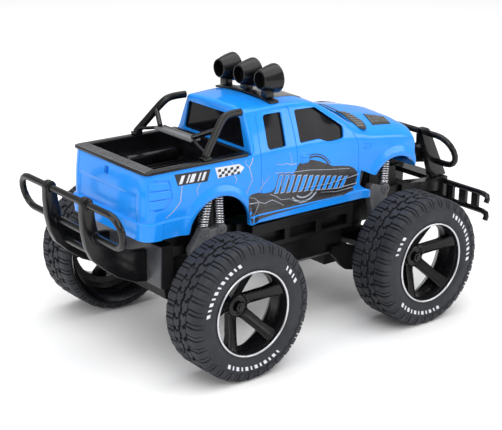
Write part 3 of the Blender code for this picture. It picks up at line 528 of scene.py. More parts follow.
def wall_point(u, z, lift, side, raised=1):
    """A point on the side: u is x, and past the rear corner it runs on round it and across the tailgate."""
    start = REAR + CORNER
    out = side_y(u, z) - HALF_WIDTH + relief(u, z) * raised + lift
    turn = (start - u) / CORNER
    if turn <= 0:
        return (u, side * (HALF_WIDTH + out), z)
    if turn < pi / 2:
        reach = CORNER + out
        return (start - reach * sin(turn), side * (HALF_WIDTH - CORNER + reach * cos(turn)), z)
    y = HALF_WIDTH - CORNER - (turn - pi / 2) * CORNER
    across = 1 - step_up(abs(y), 44, 46)
    crease = TAILGATE_CREASE * across * (1 - step_up(z, 152.6, 154.4)) * step_up(z, 131, 134)
    return (REAR - out + crease * raised, side * y, z)


TAILGATE_U = REAR + CORNER - CORNER * pi / 2
CENTRE_U = TAILGATE_U - (HALF_WIDTH - CORNER)


def tailgate_point(y, z, lift, side):
    """A point on the tailgate at one y."""
    return wall_point(TAILGATE_U - (HALF_WIDTH - CORNER - side * y), z, lift, side)


# ---------------------------------------------------------------- body

# heights of the rows of points below the belt, close together where the relief steps
LOW_LEVELS = [111, 112.5, 114, 116, 117.5, 118.2, 118.7, 119.2, 120, 122, 124, 126, 128, 130, 131, 131.4,
              131.8, 132.2, 133, 135, 137, 139, 141, 143, 145, 147, 149, 151]
UPPER_LEVELS = 14
TOP_COLUMNS = 46


def side_levels(x):
    """Heights of a row's points from the belt down to the bottom edge."""
    belt = float(STATION_CURVES[4](x))
    upper = np.linspace(belt, LOW_LEVELS[-1], UPPER_LEVELS, endpoint=False)
    return list(upper) + LOW_LEVELS[::-1]


def half_row(x, inset, top_only=False, raised=1):
    """One row of the cab and hood, from the crown to the bottom edge."""
    y, z = section(round(x * 2) / 2)
    belt = float(STATION_CURVES[4](x))
    end = int(np.argmax((z <= belt) & (y > 40)))
    lengths = np.concatenate([[0], np.cumsum(np.hypot(np.diff(y[:end + 1]), np.diff(z[:end + 1])))])
    at = np.linspace(0, lengths[-1], TOP_COLUMNS, endpoint=False)
    row = list(zip(np.interp(at, lengths, y[:end + 1]), np.interp(at, lengths, z[:end + 1])))
    row += [(side_y(x, h) + relief(x, h) * raised, h) for h in side_levels(x)]
    if inset:
        points = np.array(row)
        tangent = np.gradient(points, axis=0)
        tangent /= np.linalg.norm(tangent, axis=1)[:, None]
        outward = np.stack([-tangent[:, 1], tangent[:, 0]], axis=1)
        share = np.clip((points[:, 1] - belt) / 6, 0, 1) if top_only else np.ones(len(points))
        if not top_only:
            outward[TOP_COLUMNS:] = (1, 0)
        row = points - outward * inset * share[:, None]
    return [(x, float(a), float(b)) for a, b in row]


def full_row(half):
    """The same row run on over the other side."""
    return half[::-1] + [(x, -y, z) for x, y, z in half[1:]]


def rounding(radius):
    """(distance from the face, inset) pairs round a quarter circle."""
    angles = [pi / 8 * i for i in range(5)]
    return [(radius * (1 - cos(a)), radius * (1 - sin(a))) for a in angles]


EDGE_RADIUS = 3
ROW_STEP = 2
LIP = 4


def cab_skin(raised):
    """Points and faces of the cab and hood, closed at the back above the bed and at the front."""
    rows = [full_row(half_row(CAB_REAR + x, inset, True, raised)) for x, inset in rounding(EDGE_RADIUS)]
    between = np.arange(CAB_REAR + EDGE_RADIUS + ROW_STEP, FRONT - EDGE_RADIUS - 1, ROW_STEP)
    rows += [full_row(half_row(x, 0, False, raised)) for x in between]
    rows += [full_row(half_row(FRONT - x, inset, False, raised))
             for x, inset in rounding(EDGE_RADIUS)[::-1]]
    columns = len(rows[0])
    spare = len(side_levels(CAB_REAR)) - 1
    last = (len(rows) - 1) * columns
    faces = grid_faces(len(rows), columns)
    faces += [list(range(spare, columns - spare)), list(range(last, last + columns))]
    return [point for row in rows for point in row], faces


def bed_skin(raised):
    """Points and faces of the bed: side, corner, tailgate, corner, side, with a lip along the rail."""
    turn = REAR + CORNER
    along = list(np.arange(CAB_REAR, turn, -ROW_STEP)) + list(np.linspace(turn, TAILGATE_U, 12))
    along += list(np.linspace(TAILGATE_U, CENTRE_U, 24))[1:]
    levels = side_levels(CAB_REAR)
    stops = [(u, 1) for u in along] + [(u, -1) for u in along[-2::-1]]
    verts = []
    for u, side in stops:
        verts.append(wall_point(u, levels[0] - 0.4, -LIP, side, raised))
        verts += [wall_point(u, z, 0, side, raised) for z in levels]
    return verts, grid_faces(len(stops), len(levels) + 1)


def walled(name, skin):
    """The body's wall: raised details outside, a plain surface inside."""
    plain, faces = skin(0)
    raised, _ = skin(1)
    obj = mesh_object(name, plain, faces, 0)
    crown = max(obj.data.polygons, key=lambda f: f.center.z)
    if crown.normal.z < 0:
        obj.data.flip_normals()
    wall = obj.modifiers.new("wall", "SOLIDIFY")
    wall.thickness = WALL * MM
    wall.offset = -1
    settled(obj)
    for vertex, point in zip(obj.data.vertices, raised):
        vertex.co = Vector(point) * MM
    return obj


def soft_outline(points, trim, count=5):
    """A closed outline with bent corners."""
    return [(p[0], p[1]) for p in rounded([(u, v, 0) for u, v in points], trim, count, True)]


def spaced(points, step):
    """The same open line with points no further apart than step."""
    made = [points[0]]
    for a, b in zip(points, points[1:]):
        count = max(1, ceil(dist(a, b) / step))
        made += [tuple(p + (q - p) * k / count for p, q in zip(a, b)) for k in range(1, count + 1)]
    return made


def groove(line, place, radius, step=2.5, lift=0.1):
    """A tool that cuts a round-bottomed groove along a line drawn in (u, v) on a surface."""
    return tube("cut", [place(u, v, lift) for u, v in spaced(line, step)], radius, 8)


# (x, z) outlines and lines on the body's side
SMALL_WINDOW = [(-35.5, 201.2), (-33.3, 202.8), (-16.3, 202.8), (-15.5, 201.5), (-16.6, 174), (-35, 173.6),
                (-36.9, 176.5)]
DOOR_WINDOW = [(-0.7, 202.5), (24.3, 201.4), (51.8, 181.3), (50.1, 171.3), (37, 170.5), (30, 171.3),
               (21.8, 174.7), (-0.9, 174.2)]
FENDER_GAP = [(86, 131.4), (70.2, 138.6), (69.4, 125), (73.5, 121.3), (81.4, 118), (86, 100), (95, 100),
              (95, 131.4)]
DOOR_LINES = [
    [(-46, 119.8), (-46.2, 150), (-45.6, 172), (-43.2, 201.5), (-41.4, 204.6), (-36, 205.4), (-7.5, 205.6)],
    [(-5.5, 119.8), (-5.6, 150), (-5.4, 172), (-6.6, 203), (-7.5, 205.6)],
    [(67, 121), (67, 160), (66.2, 167), (62, 174.5)],
]
TAIL_LAMP = [(-157, 167), (-142.6, 165), (-140.6, 158.2), (-139.6, 151), (-148.8, 142), (-157, 142.6)]


def body_cutters():
    """Windows, arches, door gaps and grooves, and the openings at the front and the tail."""
    tools = []
    for outline, trim in ((SMALL_WINDOW, 1.6), (DOOR_WINDOW, 2.4), (FENDER_GAP, 2)):
        tools.append(slab("cut", soft_outline(outline, trim), "XZ", -75, 75))
    for x, z, radius in (REAR_ARCH, FRONT_ARCH):
        tools.append(slab("cut", arc((x, z), radius, 0, 355, 72), "XZ", -75, 75))
    rear_window = [(-44.5, 176.2), (44.5, 176.2), (37.6, 202.2), (-37.6, 202.2)]
    tools.append(slab("cut", soft_outline(rear_window, 3), "YZ", -60, -50.5))
    windshield = [(33.5, -37), (67.5, -46), (70, 0), (67.5, 46), (33.5, 37), (31, 0)]
    tools.append(slab("cut", soft_outline(windshield, 4), "XY", 165, 215))
    grille = [(-37, 134), (37, 134), (38.5, 157), (-38.5, 157)]
    tools.append(slab("cut", soft_outline(grille, 3), "YZ", 138, 150))
    for side in (-1, 1):
        place = on_side(side)
        lamp = [(side * 40.5, 143.5), (side * 49.2, 143.5), (side * 49.2, 154.8), (side * 41.5, 154.8)]
        tools.append(slab("cut", soft_outline(lamp, 2), "YZ", 136, 150))
        tools += [groove(line, place, 0.55) for line in DOOR_LINES]
        tools.append(groove(TAIL_LAMP, place, 0.9))
        tools.append(groove([(side * 45.6, 171), (side * 45.6, 134.2)], on_tailgate, 0.5, 3))
    tools.append(groove([(-45, 133.6), (45, 133.6)], on_tailgate, 0.5, 3, 0.15))
    tools.append(block("cut", (-175, -75, 100), (-122, 75, 116.3)))
    tools.append(block("cut", (138, -75, 100), (150, 75, 130)))
    return tools


def inset_outline(outline, inset):
    """The outline moved inwards, corner by corner."""
    n = len(outline)
    area = sum(a[0] * b[1] - b[0] * a[1] for a, b in zip(outline, outline[1:] + outline[:1]))
    turn = 1 if area > 0 else -1
    made = []
    for i in range(n):
        p, q, r = (Vector(outline[k % n]) for k in (i - 1, i, i + 1))
        a, b = (q - p).normalized(), (r - q).normalized()
        left = Vector((-a.y, a.x)) + Vector((-b.y, b.x))
        if left.length < 1e-6:
            left = Vector((-a.y, a.x))
        left.normalize()
        reach = inset / max(0.4, left.dot(Vector((-a.y, a.x))))
        made.append(tuple(q + left * reach * turn))
    return made


def pad(name, outline, height, place, bevel, step=3, sink=0.4):
    """A raised patch drawn in (u, v) and laid on a surface by place(u, v, lift)."""
    inner = inset_outline(outline, bevel)
    shape = bmesh.new()
    shoulder = height - min(bevel, height * 0.6)
    rings = [[shape.verts.new((u, v, w)) for u, v in ring]
             for ring, w in ((outline, -sink), (outline, shoulder), (inner, height))]
    n = len(outline)
    for lower, upper in zip(rings, rings[1:]):
        for i in range(n):
            shape.faces.new((lower[i], lower[(i + 1) % n], upper[(i + 1) % n], upper[i]))
    shape.faces.new(rings[-1])
    shape.faces.new(rings[0][::-1])
    for axis in (0, 1):
        values = [p[axis] for p in outline]
        for at in np.arange(floor(min(values) / step) * step + step, max(values), step):
            middle, normal = Vector((0, 0, 0)), Vector((0, 0, 0))
            middle[axis], normal[axis] = at, 1
            everything = shape.verts[:] + shape.edges[:] + shape.faces[:]
            bmesh.ops.bisect_plane(shape, geom=everything, plane_co=middle, plane_no=normal, dist=0.0001)
    bmesh.ops.triangulate(shape, faces=shape.faces)
    for v in shape.verts:
        v.co = Vector(place(*v.co)) * MM
    bmesh.ops.recalc_face_normals(shape, faces=shape.faces)
    mesh = bpy.data.meshes.new(name)
    shape.to_mesh(mesh)
    shape.free()
    return linked(name, mesh)


def on_side(side):
    """Lays a pad on one side of the body, as (x, z, lift)."""
    return lambda u, v, lift: wall_point(u, v, lift, side)


def on_tailgate(u, v, lift):
    """A place on the tailgate, as (y, z, lift)."""
    return tailgate_point(abs(u), v, lift, 1 if u >= 0 else -1)


def on_top(side=1):
    """Lays a pad on the roof or hood, as (x, y, lift), mirrored for side -1."""
    return lambda u, v, lift: (u, side * v, top_z(u, v) + lift)


def body_embossing():
    """Raised shapes moulded into the body sides and tailgate."""
    made = []
    lamp_bands = [
        [(-161, 166.4), (-143.2, 163.9), (-141.8, 158.4), (-161, 159.4)],
        [(-161, 158.5), (-141.6, 157.5), (-140.8, 152.2), (-141.7, 151), (-161, 151.6)],
        [(-161, 150.7), (-142.5, 150.1), (-149.4, 143.2), (-161, 143.8)],
    ]
    louvres = [[(74.9, 163.6), (85.7, 163), (85, 161.6), (75.6, 162.1)],
               [(73.5, 160), (84.3, 159.4), (83.6, 158), (74.2, 158.5)]]
    for _, side in SIDES:
        place = on_side(side)
        for outline in lamp_bands:
            made.append(pad("lamp", soft_outline(outline, 1, 3), 1.15, place, 0.4))
        for outline in louvres:
            made.append(pad("louvre", soft_outline(outline, 0.6, 2), 0.7, place, 0.35))
        handle = soft_outline(rectangle(-2.2, 156.2, 8.2, 165.6), 2.4)
        made.append(pad("handle", handle, 0.55, place, 0.3))
        for z in (157.9, 161.4):
            bar = soft_outline(rectangle(-0.6, z, 6.6, z + 2.4), 1, 3)
            made.append(pad("handle_bar", bar, 1.35, place, 0.4))
    for corners, height in (((-6.6, 161.8, 4.6, 167.9), 0.9), ((-7, 126.6, -2, 131), 0.6)):
        made.append(pad("panel", soft_outline(rectangle(*corners), 1.6, 4), height, on_tailgate, 0.5))
    return made


def body():
    """The painted shell: cab and hood, bed and the raised shapes on them."""
    cab = cut_by(walled("body", cab_skin), body_cutters())
    bed = cut_by(walled("bed", bed_skin), body_cutters())
    joined(cab, bed, *body_embossing())
    piece(cab, "body", "body_blue", "body_shell", angle=38)


def glazing():
    """Smoked panes: one dark sheet just inside the cab's skin."""
    inset = 2.4
    sill = 163
    rows = []
    for x in [CAB_REAR + inset] + list(np.arange(CAB_REAR + 6, 88, 4)):
        half = half_row(x, inset)
        rows.append(full_row([p for p in half if p[2] > sill]))
    columns = min(len(row) for row in rows)
    trimmed = []
    for row in rows:
        spare = (len(row) - columns) // 2
        trimmed.append(row[spare:len(row) - spare])
    verts = [point for row in trimmed for point in row]
    faces = grid_faces(len(trimmed), columns) + [list(range(columns))]
    sheet = mesh_object("glazing", verts, faces)
    thick = sheet.modifiers.new("wall", "SOLIDIFY")
    thick.thickness = 0.9 * MM
    thick.offset = -1
    settled(sheet)
    piece(sheet, "cab_glazing_smoked", "tinted_glazing", "cab_glazing")


# ---------------------------------------------------------------- wheels

PITCHES = 34
TREAD_BASE = 57.4
TREAD_HALF = 18
SHOULDER = 3.6
SIDEWALL = [(37.4, 20.4), (38.2, 20.9), (39.3, 21), (40.2, 21.8), (44.5, 22), (51.8, 21.9), (52.6, 21.5),
            (53.4, 21.7), (54.4, 21.6), (56, 20.8), (57.2, 19.4)]


def shoulder_point(side):
    def place(u, v, lift):
        """v runs across the tread, round the shoulder and down the side wall."""
        past = max(0, v - TREAD_HALF)
        quarter = SHOULDER * pi / 2
        t = min(past / quarter, 1) * pi / 2
        down = max(0, past - quarter)
        radius = TREAD_BASE - SHOULDER * (1 - cos(t)) - down + lift * cos(t)
        across = min(v, TREAD_HALF) + SHOULDER * sin(t) + lift * sin(t) * 0.35
        a = 2 * pi * u / PITCHES
        return (radius * cos(a), radius * sin(a), side * across)
    return place


def lug(outline, height, place, bevel):
    """A tread block: u in pitches, v in millimetres, with a bevelled top and finely cut faces."""
    pitch = 2 * pi * TREAD_BASE / PITCHES
    in_mm = [(u * pitch, v) for u, v in outline]
    return pad("lug", in_mm, height, lambda u, v, w: place(u / pitch, v, w), bevel, 2.6, 0.5)


def tyre():
    """One tyre about the Z axis, outside up."""
    inner = [(r, -z) for r, z in SIDEWALL if r > 54][::-1]
    inner += [(53.7, -21.2), (48.6, -12.6)]
    crown = [(TREAD_BASE, z) for z in (TREAD_HALF, 0, -TREAD_HALF)]
    hollow = [(54, -16.5), (54.5, 0), (54, 16), (50, 17.6), (37.4, 16.5)]
    carcass = turned("tyre", SIDEWALL + crown + inner + hollow, 136)
    wide = [(0.04, 9.3), (0.3, 8.7), (0.6, 9), (0.61, 20.9), (0.59, 25.4), (0.08, 25.4), (0.04, 20.9)]
    narrow = [(0.68, 9.8), (0.94, 9.4), (0.94, 19.6), (0.92, 24.2), (0.7, 24.2), (0.68, 19.6)]
    middle = [(0.04, 0.9), (0.46, 0.5), (0.54, 2.2), (0.95, 1.8), (0.93, 5), (0.74, 5.4), (0.66, 8.1),
              (0.12, 8.2), (0.04, 6.2), (0.2, 4.6), (0.02, 2.8)]
    lone = []
    for side in (1, -1):
        place = shoulder_point(side)
        reach = 26 if side > 0 else 23.2
        for outline, height, bevel in ((wide, 2.5, 0.4), (narrow, 2.1, 0.35)):
            lone.append(lug([(u, min(v, reach)) for u, v in outline], height, place, bevel))
        turn = 0.5 if side < 0 else 0
        lone.append(lug([(u + turn + 0.22, v) for u, v in middle], 2.6, place, 0.45))
    lugs = joined(*lone)
    every = bmesh.new()
    for i in range(PITCHES):
        start = len(every.verts)
        every.from_mesh(lugs.data)
        every.verts.ensure_lookup_table()
        turn = Matrix.Rotation(2 * pi * i / PITCHES, 4, "Z")
        bmesh.ops.transform(every, matrix=turn, verts=every.verts[start:])
    every.to_mesh(lugs.data)
    every.free()
    return joined(carcass, lugs)


# first and last angle and number of bars in each group, and the share of the pitch that a bar fills
MARK_GROUPS = ((106, 172, 11), (22, 47, 4), (235, 306, 12))
MARK_SHARES = (0.6, 0.32)
MARK_RADIUS = 47.5


def sidewall_marks(turn):
    """Raised pale bars in three groups, moulded round the outer side wall."""
    made = []
    lean = 0.55
    for start, end, count in MARK_GROUPS:
        step = (end - start) / count
        for i in range(count):
            share = MARK_SHARES[i % len(MARK_SHARES)]
            middle = radians(start + turn + step * (i + 0.5)) * MARK_RADIUS
            width = radians(step) * share * MARK_RADIUS
            outline = slash(middle - lean, 45.9, 49.3, width, 2 * lean)
            made.append(pad("mark", outline, 0.2, outer_face, 0.06, 1.5, 0.2))
    return joined(*made)


def outer_face(u, v, lift):
    """A place on the outer side wall: u is an arc length at the marks' radius and v the radius."""
    a = u / MARK_RADIUS
    return (v * cos(a), v * sin(a), 21.94 + lift)


def spoke(turn):
    """A spoke from the deep hub out to the lip, with a flat front and bevelled edges."""
    # distance from the axis, height of the front, half-width, depth
    stations = [(4, -2.2, 5.2, 6), (9, -0.6, 5.3, 6.6), (13, 2.2, 5, 7.2), (24, 10.6, 4.8, 8),
                (33.5, 17.6, 5.6, 9.5), (35.4, 18.6, 6.4, 10.5)]
    path = rounded([(x, z, 0) for x, z, _, _ in stations], 2.5, 2)
    sizes = stations[:1] + [s for s in stations[1:-1] for _ in range(3)] + stations[-1:]
    bevel = 1.15
    rings = []
    for (x, z, _), (_, _, w, d) in zip(path, sizes):
        ring = [(-w, -bevel), (-w + bevel, 0), (w - bevel, 0), (w, -bevel), (w * 0.86, -d), (-w * 0.86, -d)]
        rings.append([(x, y, z + h) for y, h in ring])
    return moved(swept("spoke", rings), Matrix.Rotation(radians(turn), 4, "Z"))


def rim():
    """One rim about the Z axis, outside up: stepped barrel, recessed hub, five spokes."""
    barrel = [(37, 20.2), (37, 3.5), (48, 0.5), (48, -12.7), (53.2, -21.3), (52.6, -21.7), (46.8, -12.8),
              (44.9, -11.9), (44.9, -2.2), (40.5, -0.6), (40.5, 0.4), (34.9, 1.7), (34.9, 7.5), (34.4, 7.8),
              (34.4, 17.6), (35, 18.4), (35.4, 20.6), (36.2, 20.9), (36.9, 20.8)]
    drum = turned("rim", barrel, 120)
    hub = [(2.4, -8), (9.5, -8), (10.4, -7.4), (10.6, -2.4), (9.6, 0.6), (8.6, 1.2), (6.3, 1.3), (6, 0.5),
           (2.4, 0.5)]
    return joined(drum, turned("hub", hub, 60), *[spoke(23 + 72 * i) for i in range(5)])


def lip_ring():
    """The bright ring round the rim's edge."""
    return turned("rim_ring", circle((36.7, 21.1), 1.05, 12), 120)


def hub_cap():
    """A six-sided cap with a round boss."""
    cap = settled(soften(slab("hub_cap", circle((0, 0), 5.2, 6), "XY", 1.35, 4.6), 0.9, 3))
    boss = turned("boss", [(0.4, 4), (2.3, 4), (2.6, 4.4), (2.4, 5.5), (0.4, 5.6)], 32)
    return joined(cap, boss)


WHEEL_BODIES = {"rear_left": "rear_wheels", "rear_right": "rear_wheels", "front_left": "front_wheel_left",
                "front_right": "front_wheel_right"}


def wheels():
    """Makes each part once and copies it to every corner."""
    parts = [("tyre", tyre(), "tyre_rubber"), ("rim", rim(), "rim_black"),
             ("hub_cap", hub_cap(), "rim_black"), ("rim_ring", lip_ring(), "steel"),
             ("rear_marks", sidewall_marks(0), "print_white"),
             ("front_marks", sidewall_marks(115), "print_white")]
    for corner, rider in WHEEL_BODIES.items():
        side = 1 if corner.endswith("left") else -1
        end = corner.split("_")[0]
        x = WHEEL_X if end == "front" else -WHEEL_X
        place = placed(x, side * WHEEL_Y, WHEEL_Z) @ facing(side)
        for kind, pattern, look in parts:
            if kind.endswith("marks") and not kind.startswith(end):
                continue
            obj = moved(linked(kind, pattern.data.copy()), place)
            replaced = [f"{kind}_{corner}"] if kind in ("tyre", "rim", "hub_cap") else []
            slot = "tyre_rubber" if kind.endswith("marks") else look
            piece(obj, f"{kind}_fine_{corner}", look, *replaced, body=rider, slot=slot, angle=40)
    for _, pattern, _ in parts:
        bpy.data.objects.remove(pattern)


# ---------------------------------------------------------------- printed patterns

def stroke(points, start, end):
    """The outline of a line that tapers from one width to another."""
    left, right = [], []
    n = len(points)
    for i, point in enumerate(points):
        a, b = Vector(points[max(0, i - 1)]), Vector(points[min(n - 1, i + 1)])
        along = (b - a).normalized()
        across = Vector((-along.y, along.x)) * (start + (end - start) * i / (n - 1)) / 2
        left.append(tuple(Vector(point) + across))
        right.append(tuple(Vector(point) - across))
    return left + right[::-1]


def band(centre, inner, outer, start, end):
    """The outline of part of a ring."""
    count = 18
    return arc(centre, outer, start, end, count) + arc(centre, inner, end, start, count)


def slash(x, low, high, width, lean):
    """A leaning bar: its foot is centred at x and its top lies lean further on."""
    left, right = x - width / 2, x + width / 2
    return [(left, low), (right, low), (right + lean, high), (left + lean, high)]


# (x, z) outline of the dark patch, and pale lines as (points, first width, last width)
DOOR_FIELD = [(-61.6, 128), (-61.2, 134.6), (-59.6, 137.4), (-55, 138.6), (-49.2, 138.8), (-44, 137),
              (-37, 136.6), (-33, 137.4), (-30.6, 140.2), (-24, 139.6), (-17, 143), (-11, 146.2),
              (-8.6, 150.8), (-6.4, 152.4), (-4, 156.6), (3, 158.6), (11.3, 158), (20, 155.2),
              (28.3, 151.6), (36, 148.2), (41, 147.4), (48, 146.4), (56, 144.8), (61.5, 142),
              (65.4, 138), (66, 133), (64.6, 129), (65.6, 126), (61, 124.2), (63, 120.6), (48, 117.8),
              (20, 117), (-2, 116.4), (-30, 115.4), (-47, 114), (-50, 112.4), (-56.8, 112),
              (-59.6, 119.6)]
PALE_LINES = [
    ([(-54.4, 170.2), (-56, 166), (-58.7, 162.5), (-57.2, 157), (-56, 151.3), (-59.4, 146), (-62.8, 139.4)],
     0.9, 0.5),
    ([(-58.7, 162.5), (-62.6, 166.4), (-62, 169.8)], 0.5, 0.3),
    ([(-75.2, 158.2), (-72.8, 155.4), (-74, 151.4)], 0.8, 0.4),
    ([(-77.3, 170.4), (-76.2, 168.4)], 0.5, 0.5),
    ([(-110.6, 158.4), (-114.9, 152.6), (-113.6, 148.2)], 0.8, 0.4),
    ([(-129.4, 158.8), (-130.6, 152), (-131.7, 145.3), (-138, 139.5), (-146.4, 134)], 0.9, 0.5),
    ([(-6.6, 157.4), (-12.4, 157.2), (-17, 159.2), (-22.6, 159), (-28.9, 160.4)], 0.8, 0.3),
    ([(-12.4, 157.2), (-11.6, 162), (-13.6, 168.6)], 0.4, 0.25),
    ([(-47.6, 139.6), (-44.4, 145), (-40.2, 147.4), (-36.8, 152.6)], 0.6, 0.3),
    ([(-44.4, 145), (-45.6, 150.6)], 0.4, 0.2),
]
FIELD_LINES = [
    ([(-60.8, 131.4), (-55, 130), (-48.2, 129.8), (-42, 127.4), (-34, 129.2), (-28, 126.4), (-20, 121.4)],
     0.9, 0.5),
    ([(-48.2, 129.8), (-50.4, 124), (-56.8, 116.4)], 0.7, 0.4),
    ([(-48.2, 129.8), (-53.6, 134.4), (-59.4, 136)], 0.6, 0.35),
    ([(-36.4, 134.8), (-29, 131.4), (-23.6, 127.4), (-14, 126.6), (-7, 122.6)], 0.6, 0.35),
    ([(2.6, 122), (-0.6, 119.8)], 0.9, 0.4),
]


def door_graphic():
    """(outline, colour, layer) of the storm pattern across the doors; it carries no letters."""
    made = [(DOOR_FIELD, "print_dark", 0)]
    made += [(stroke(points, *widths), "print_grey", 1) for points, *widths in PALE_LINES]
    for z, start, end in ((123.4, -57, 10), (127.2, -44, -6), (133.8, -56, -30)):
        line = [(start, z), ((start + end) / 2, z - 0.5), (end, z - 2.4)]
        made.append((stroke(line, 0.9, 0.5), "print_black", 1))
    wheel, shadow = (13, 139.5), (3, 139)
    for centre, colour, *sizes in ((wheel, "print_dark", 20.2, 21.6, 24, 138),
                                   (wheel, "print_dark", 22.6, 23.4, 30, 132),
                                   (shadow, "print_grey", 17.2, 19, 222, 322),
                                   (shadow, "print_grey", 13.4, 14.8, 232, 312)):
        made.append((band(centre, *sizes), colour, 1))
    for i in range(12):
        x = -26.5 + 6.9 * i
        foot = 135 - 0.115 * (x + 27)
        tall = 15.6 - 0.5 * i
        made.append((slash(x - 3.4, foot - 1.3, foot + tall + 0.6, 6, 6.4), "print_dark", 1))
        made.append((slash(x - 3.3, foot - 0.7, foot + tall, 4.7, 6), "print_grey", 2))
        made.append((slash(x - 3.2, foot, foot + tall - 0.6, 3.7, 5.6), "body_blue", 3))
    made.append((stroke([(-31, 153), (-14, 150.6), (8, 149.2), (30, 145.8), (56, 142.6)], 0.5, 0.4),
                 "print_grey", 3))
    for start, end, width in (((-4, 132.4), (64.6, 133.8), 1.5), ((14, 127.6), (62.8, 125.8), 1.9),
                              ((20, 124.6), (58, 122.6), 1.3)):
        middle = ((start[0] + end[0]) / 2, (start[1] + end[1]) / 2 - 1.8)
        made.append((stroke([start, middle, end], 0.5, width), "print_black", 2))
        lifted = [(p[0] + 3, p[1] + 1.3) for p in (start, middle, end)]
        made.append((stroke(lifted, 0.2, width * 0.5), "print_grey", 3))
    made += [(stroke(points, *widths), "print_grey", 3) for points, *widths in FIELD_LINES]
    return made


def badges():
    """A black flash with white slashes and a pale chequered one, on the bed side."""
    made = [([(-136.4, 169.4), (-99.4, 168), (-103.4, 158.2), (-133.4, 159.4)], "print_black", 0)]
    for x, width in ((-129.6, 3.4), (-123.2, 1.7), (-118.6, 4.4), (-111.8, 1.7), (-107.2, 2.8)):
        foot = 160.6 - 0.03 * (x + 130)
        made.append((slash(x - 1.2, foot, foot + 6.6, width, 3.4), "print_white", 1))
    flag = [(-94.8, 168.2), (-69.4, 167.3), (-64.2, 163.6), (-68.4, 159.6), (-92.4, 158.8)]
    made.append((flag, "print_white", 0))
    for row in range(3):
        for k in range(row % 2, 7, 2):
            x = -90.6 + 3.2 * k + row * 0.3
            z = 165.2 - 2.35 * row - 0.03 * (x + 90)
            made.append((slash(x, z - 1.1, z + 1.1, 3, 0.5), "print_black", 1))
    return made


def printed():
    """Lays every pattern on both sides as thin films, one object for each colour and side."""
    for side_name, side in SIDES:
        films = {}
        place = on_side(side)
        for outline, colour, layer in door_graphic() + badges():
            film = pad("film", outline, 0.1 + 0.07 * layer, place, 0.02, 3, 0.5)
            films.setdefault(colour, []).append(film)
        for colour, group in films.items():
            piece(joined(*group), f"print_{colour.split('_')[-1]}_{side_name}", colour, slot="body_blue")


# ---------------------------------------------------------------- springs and trim

# x at the foot and at the top of each spring
SPRING_LEAN = {"rear_outer": (-102, -97), "rear_inner": (-84.8, -86.2), "front": (107.5, 108.6)}
SPRING_WIRE = 0.9
SPRING_PITCH = 2.3
FLAT_TURNS = 0.75


def spring(foot, top, side, y, low, high, radius):
    """A close coil leaning from foot to top, with a flat turn at each end."""
    height = high - low - 2 * SPRING_WIRE
    turns = height / SPRING_PITCH + 2 * FLAT_TURNS
    count = round(turns * 20)
    points = []
    for i in range(count + 1):
        turn = i / count * turns
        rise = min(1, max(0, (turn - FLAT_TURNS) / (turns - 2 * FLAT_TURNS)))
        a = 2 * pi * turn
        x = foot + (top - foot) * rise + radius * cos(a)
        points.append((x, y + side * radius * sin(a), low + SPRING_WIRE + height * rise))
    return tube("spring", points, SPRING_WIRE, 8)


def springs():
    """Six coils, one in the place of each CAD spring."""
    for key, (foot, top) in SPRING_LEAN.items():
        for side_name, side in SIDES:
            node = f"spring_{key}_{side_name}"
            low, high = (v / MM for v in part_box(node))
            radius = (high.y - low.y) / 2 - SPRING_WIRE
            coil = spring(foot, top, side, (low.y + high.y) / 2, low.z, high.z, radius)
            piece(coil, node + "_fine", "steel", node, angle=60)
            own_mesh(coil)


def roll_bar():
    """A tube on each side with its foot, braces to the middle and a plate that joins them."""
    made = []
    for side in (-1, 1):
        path = [(-56.2, side * 40.5, 207.4), (-66, side * 41, 207.4), (-74, side * 42, 206.4),
                (-80, side * 43.6, 201.6), (-101, side * 51.4, 177.6)]
        path = spaced(rounded(path, 7, 6), 3)
        made.append(tube("run", path, 3.3, 28, flat=0.86, flat_axis=(0, 1, 0)))
        for offset in (-1.5, 1.5):
            ridge = [(x - 1.9, y + offset, z + 2.1) for x, y, z in path[3:]]
            made.append(tube("ridge", ridge, 0.5, 8))
        y = side * 51.6
        made.append(soft_block("foot", (-105.6, y - 3.6, 175), (-97, y + 3.6, 177.6), 0.7))
        y = side * 51.4
        made.append(soft_block("collar", (-103.6, y - 3, 177.4), (-98.6, y + 3, 179.6), 0.8))
        brace = rounded([(-85, side * 45, 197), (-88, side * 38, 194), (-95, side * 24, 187.2)], 4, 4)
        made.append(tube("brace", brace, 2.3, 16))
        strut = [(-95, side * 25, 186), (-98.2, side * 38, 183), (-100.6, side * 50, 180.8)]
        made.append(tube("strut", rounded(strut, 5, 4), 1.5, 14))
    piece(joined(*made), "roll_bar_fine", "black_plastic", "roll_bar")
    plate = soft_block("plate", (-99.6, -27, 184.2), (-88.4, 27, 186.6), 0.8)
    rails = [soft_block("rail", (x - 0.6, -26.4, 186.4), (x + 0.6, 26.4, 187.3), 0.25)
             for x in (-98.4, -89.6)]
    piece(joined(plate, *rails), "roll_bar_plate", "grey_plate_and_rib_highlight", slot="black_plastic")


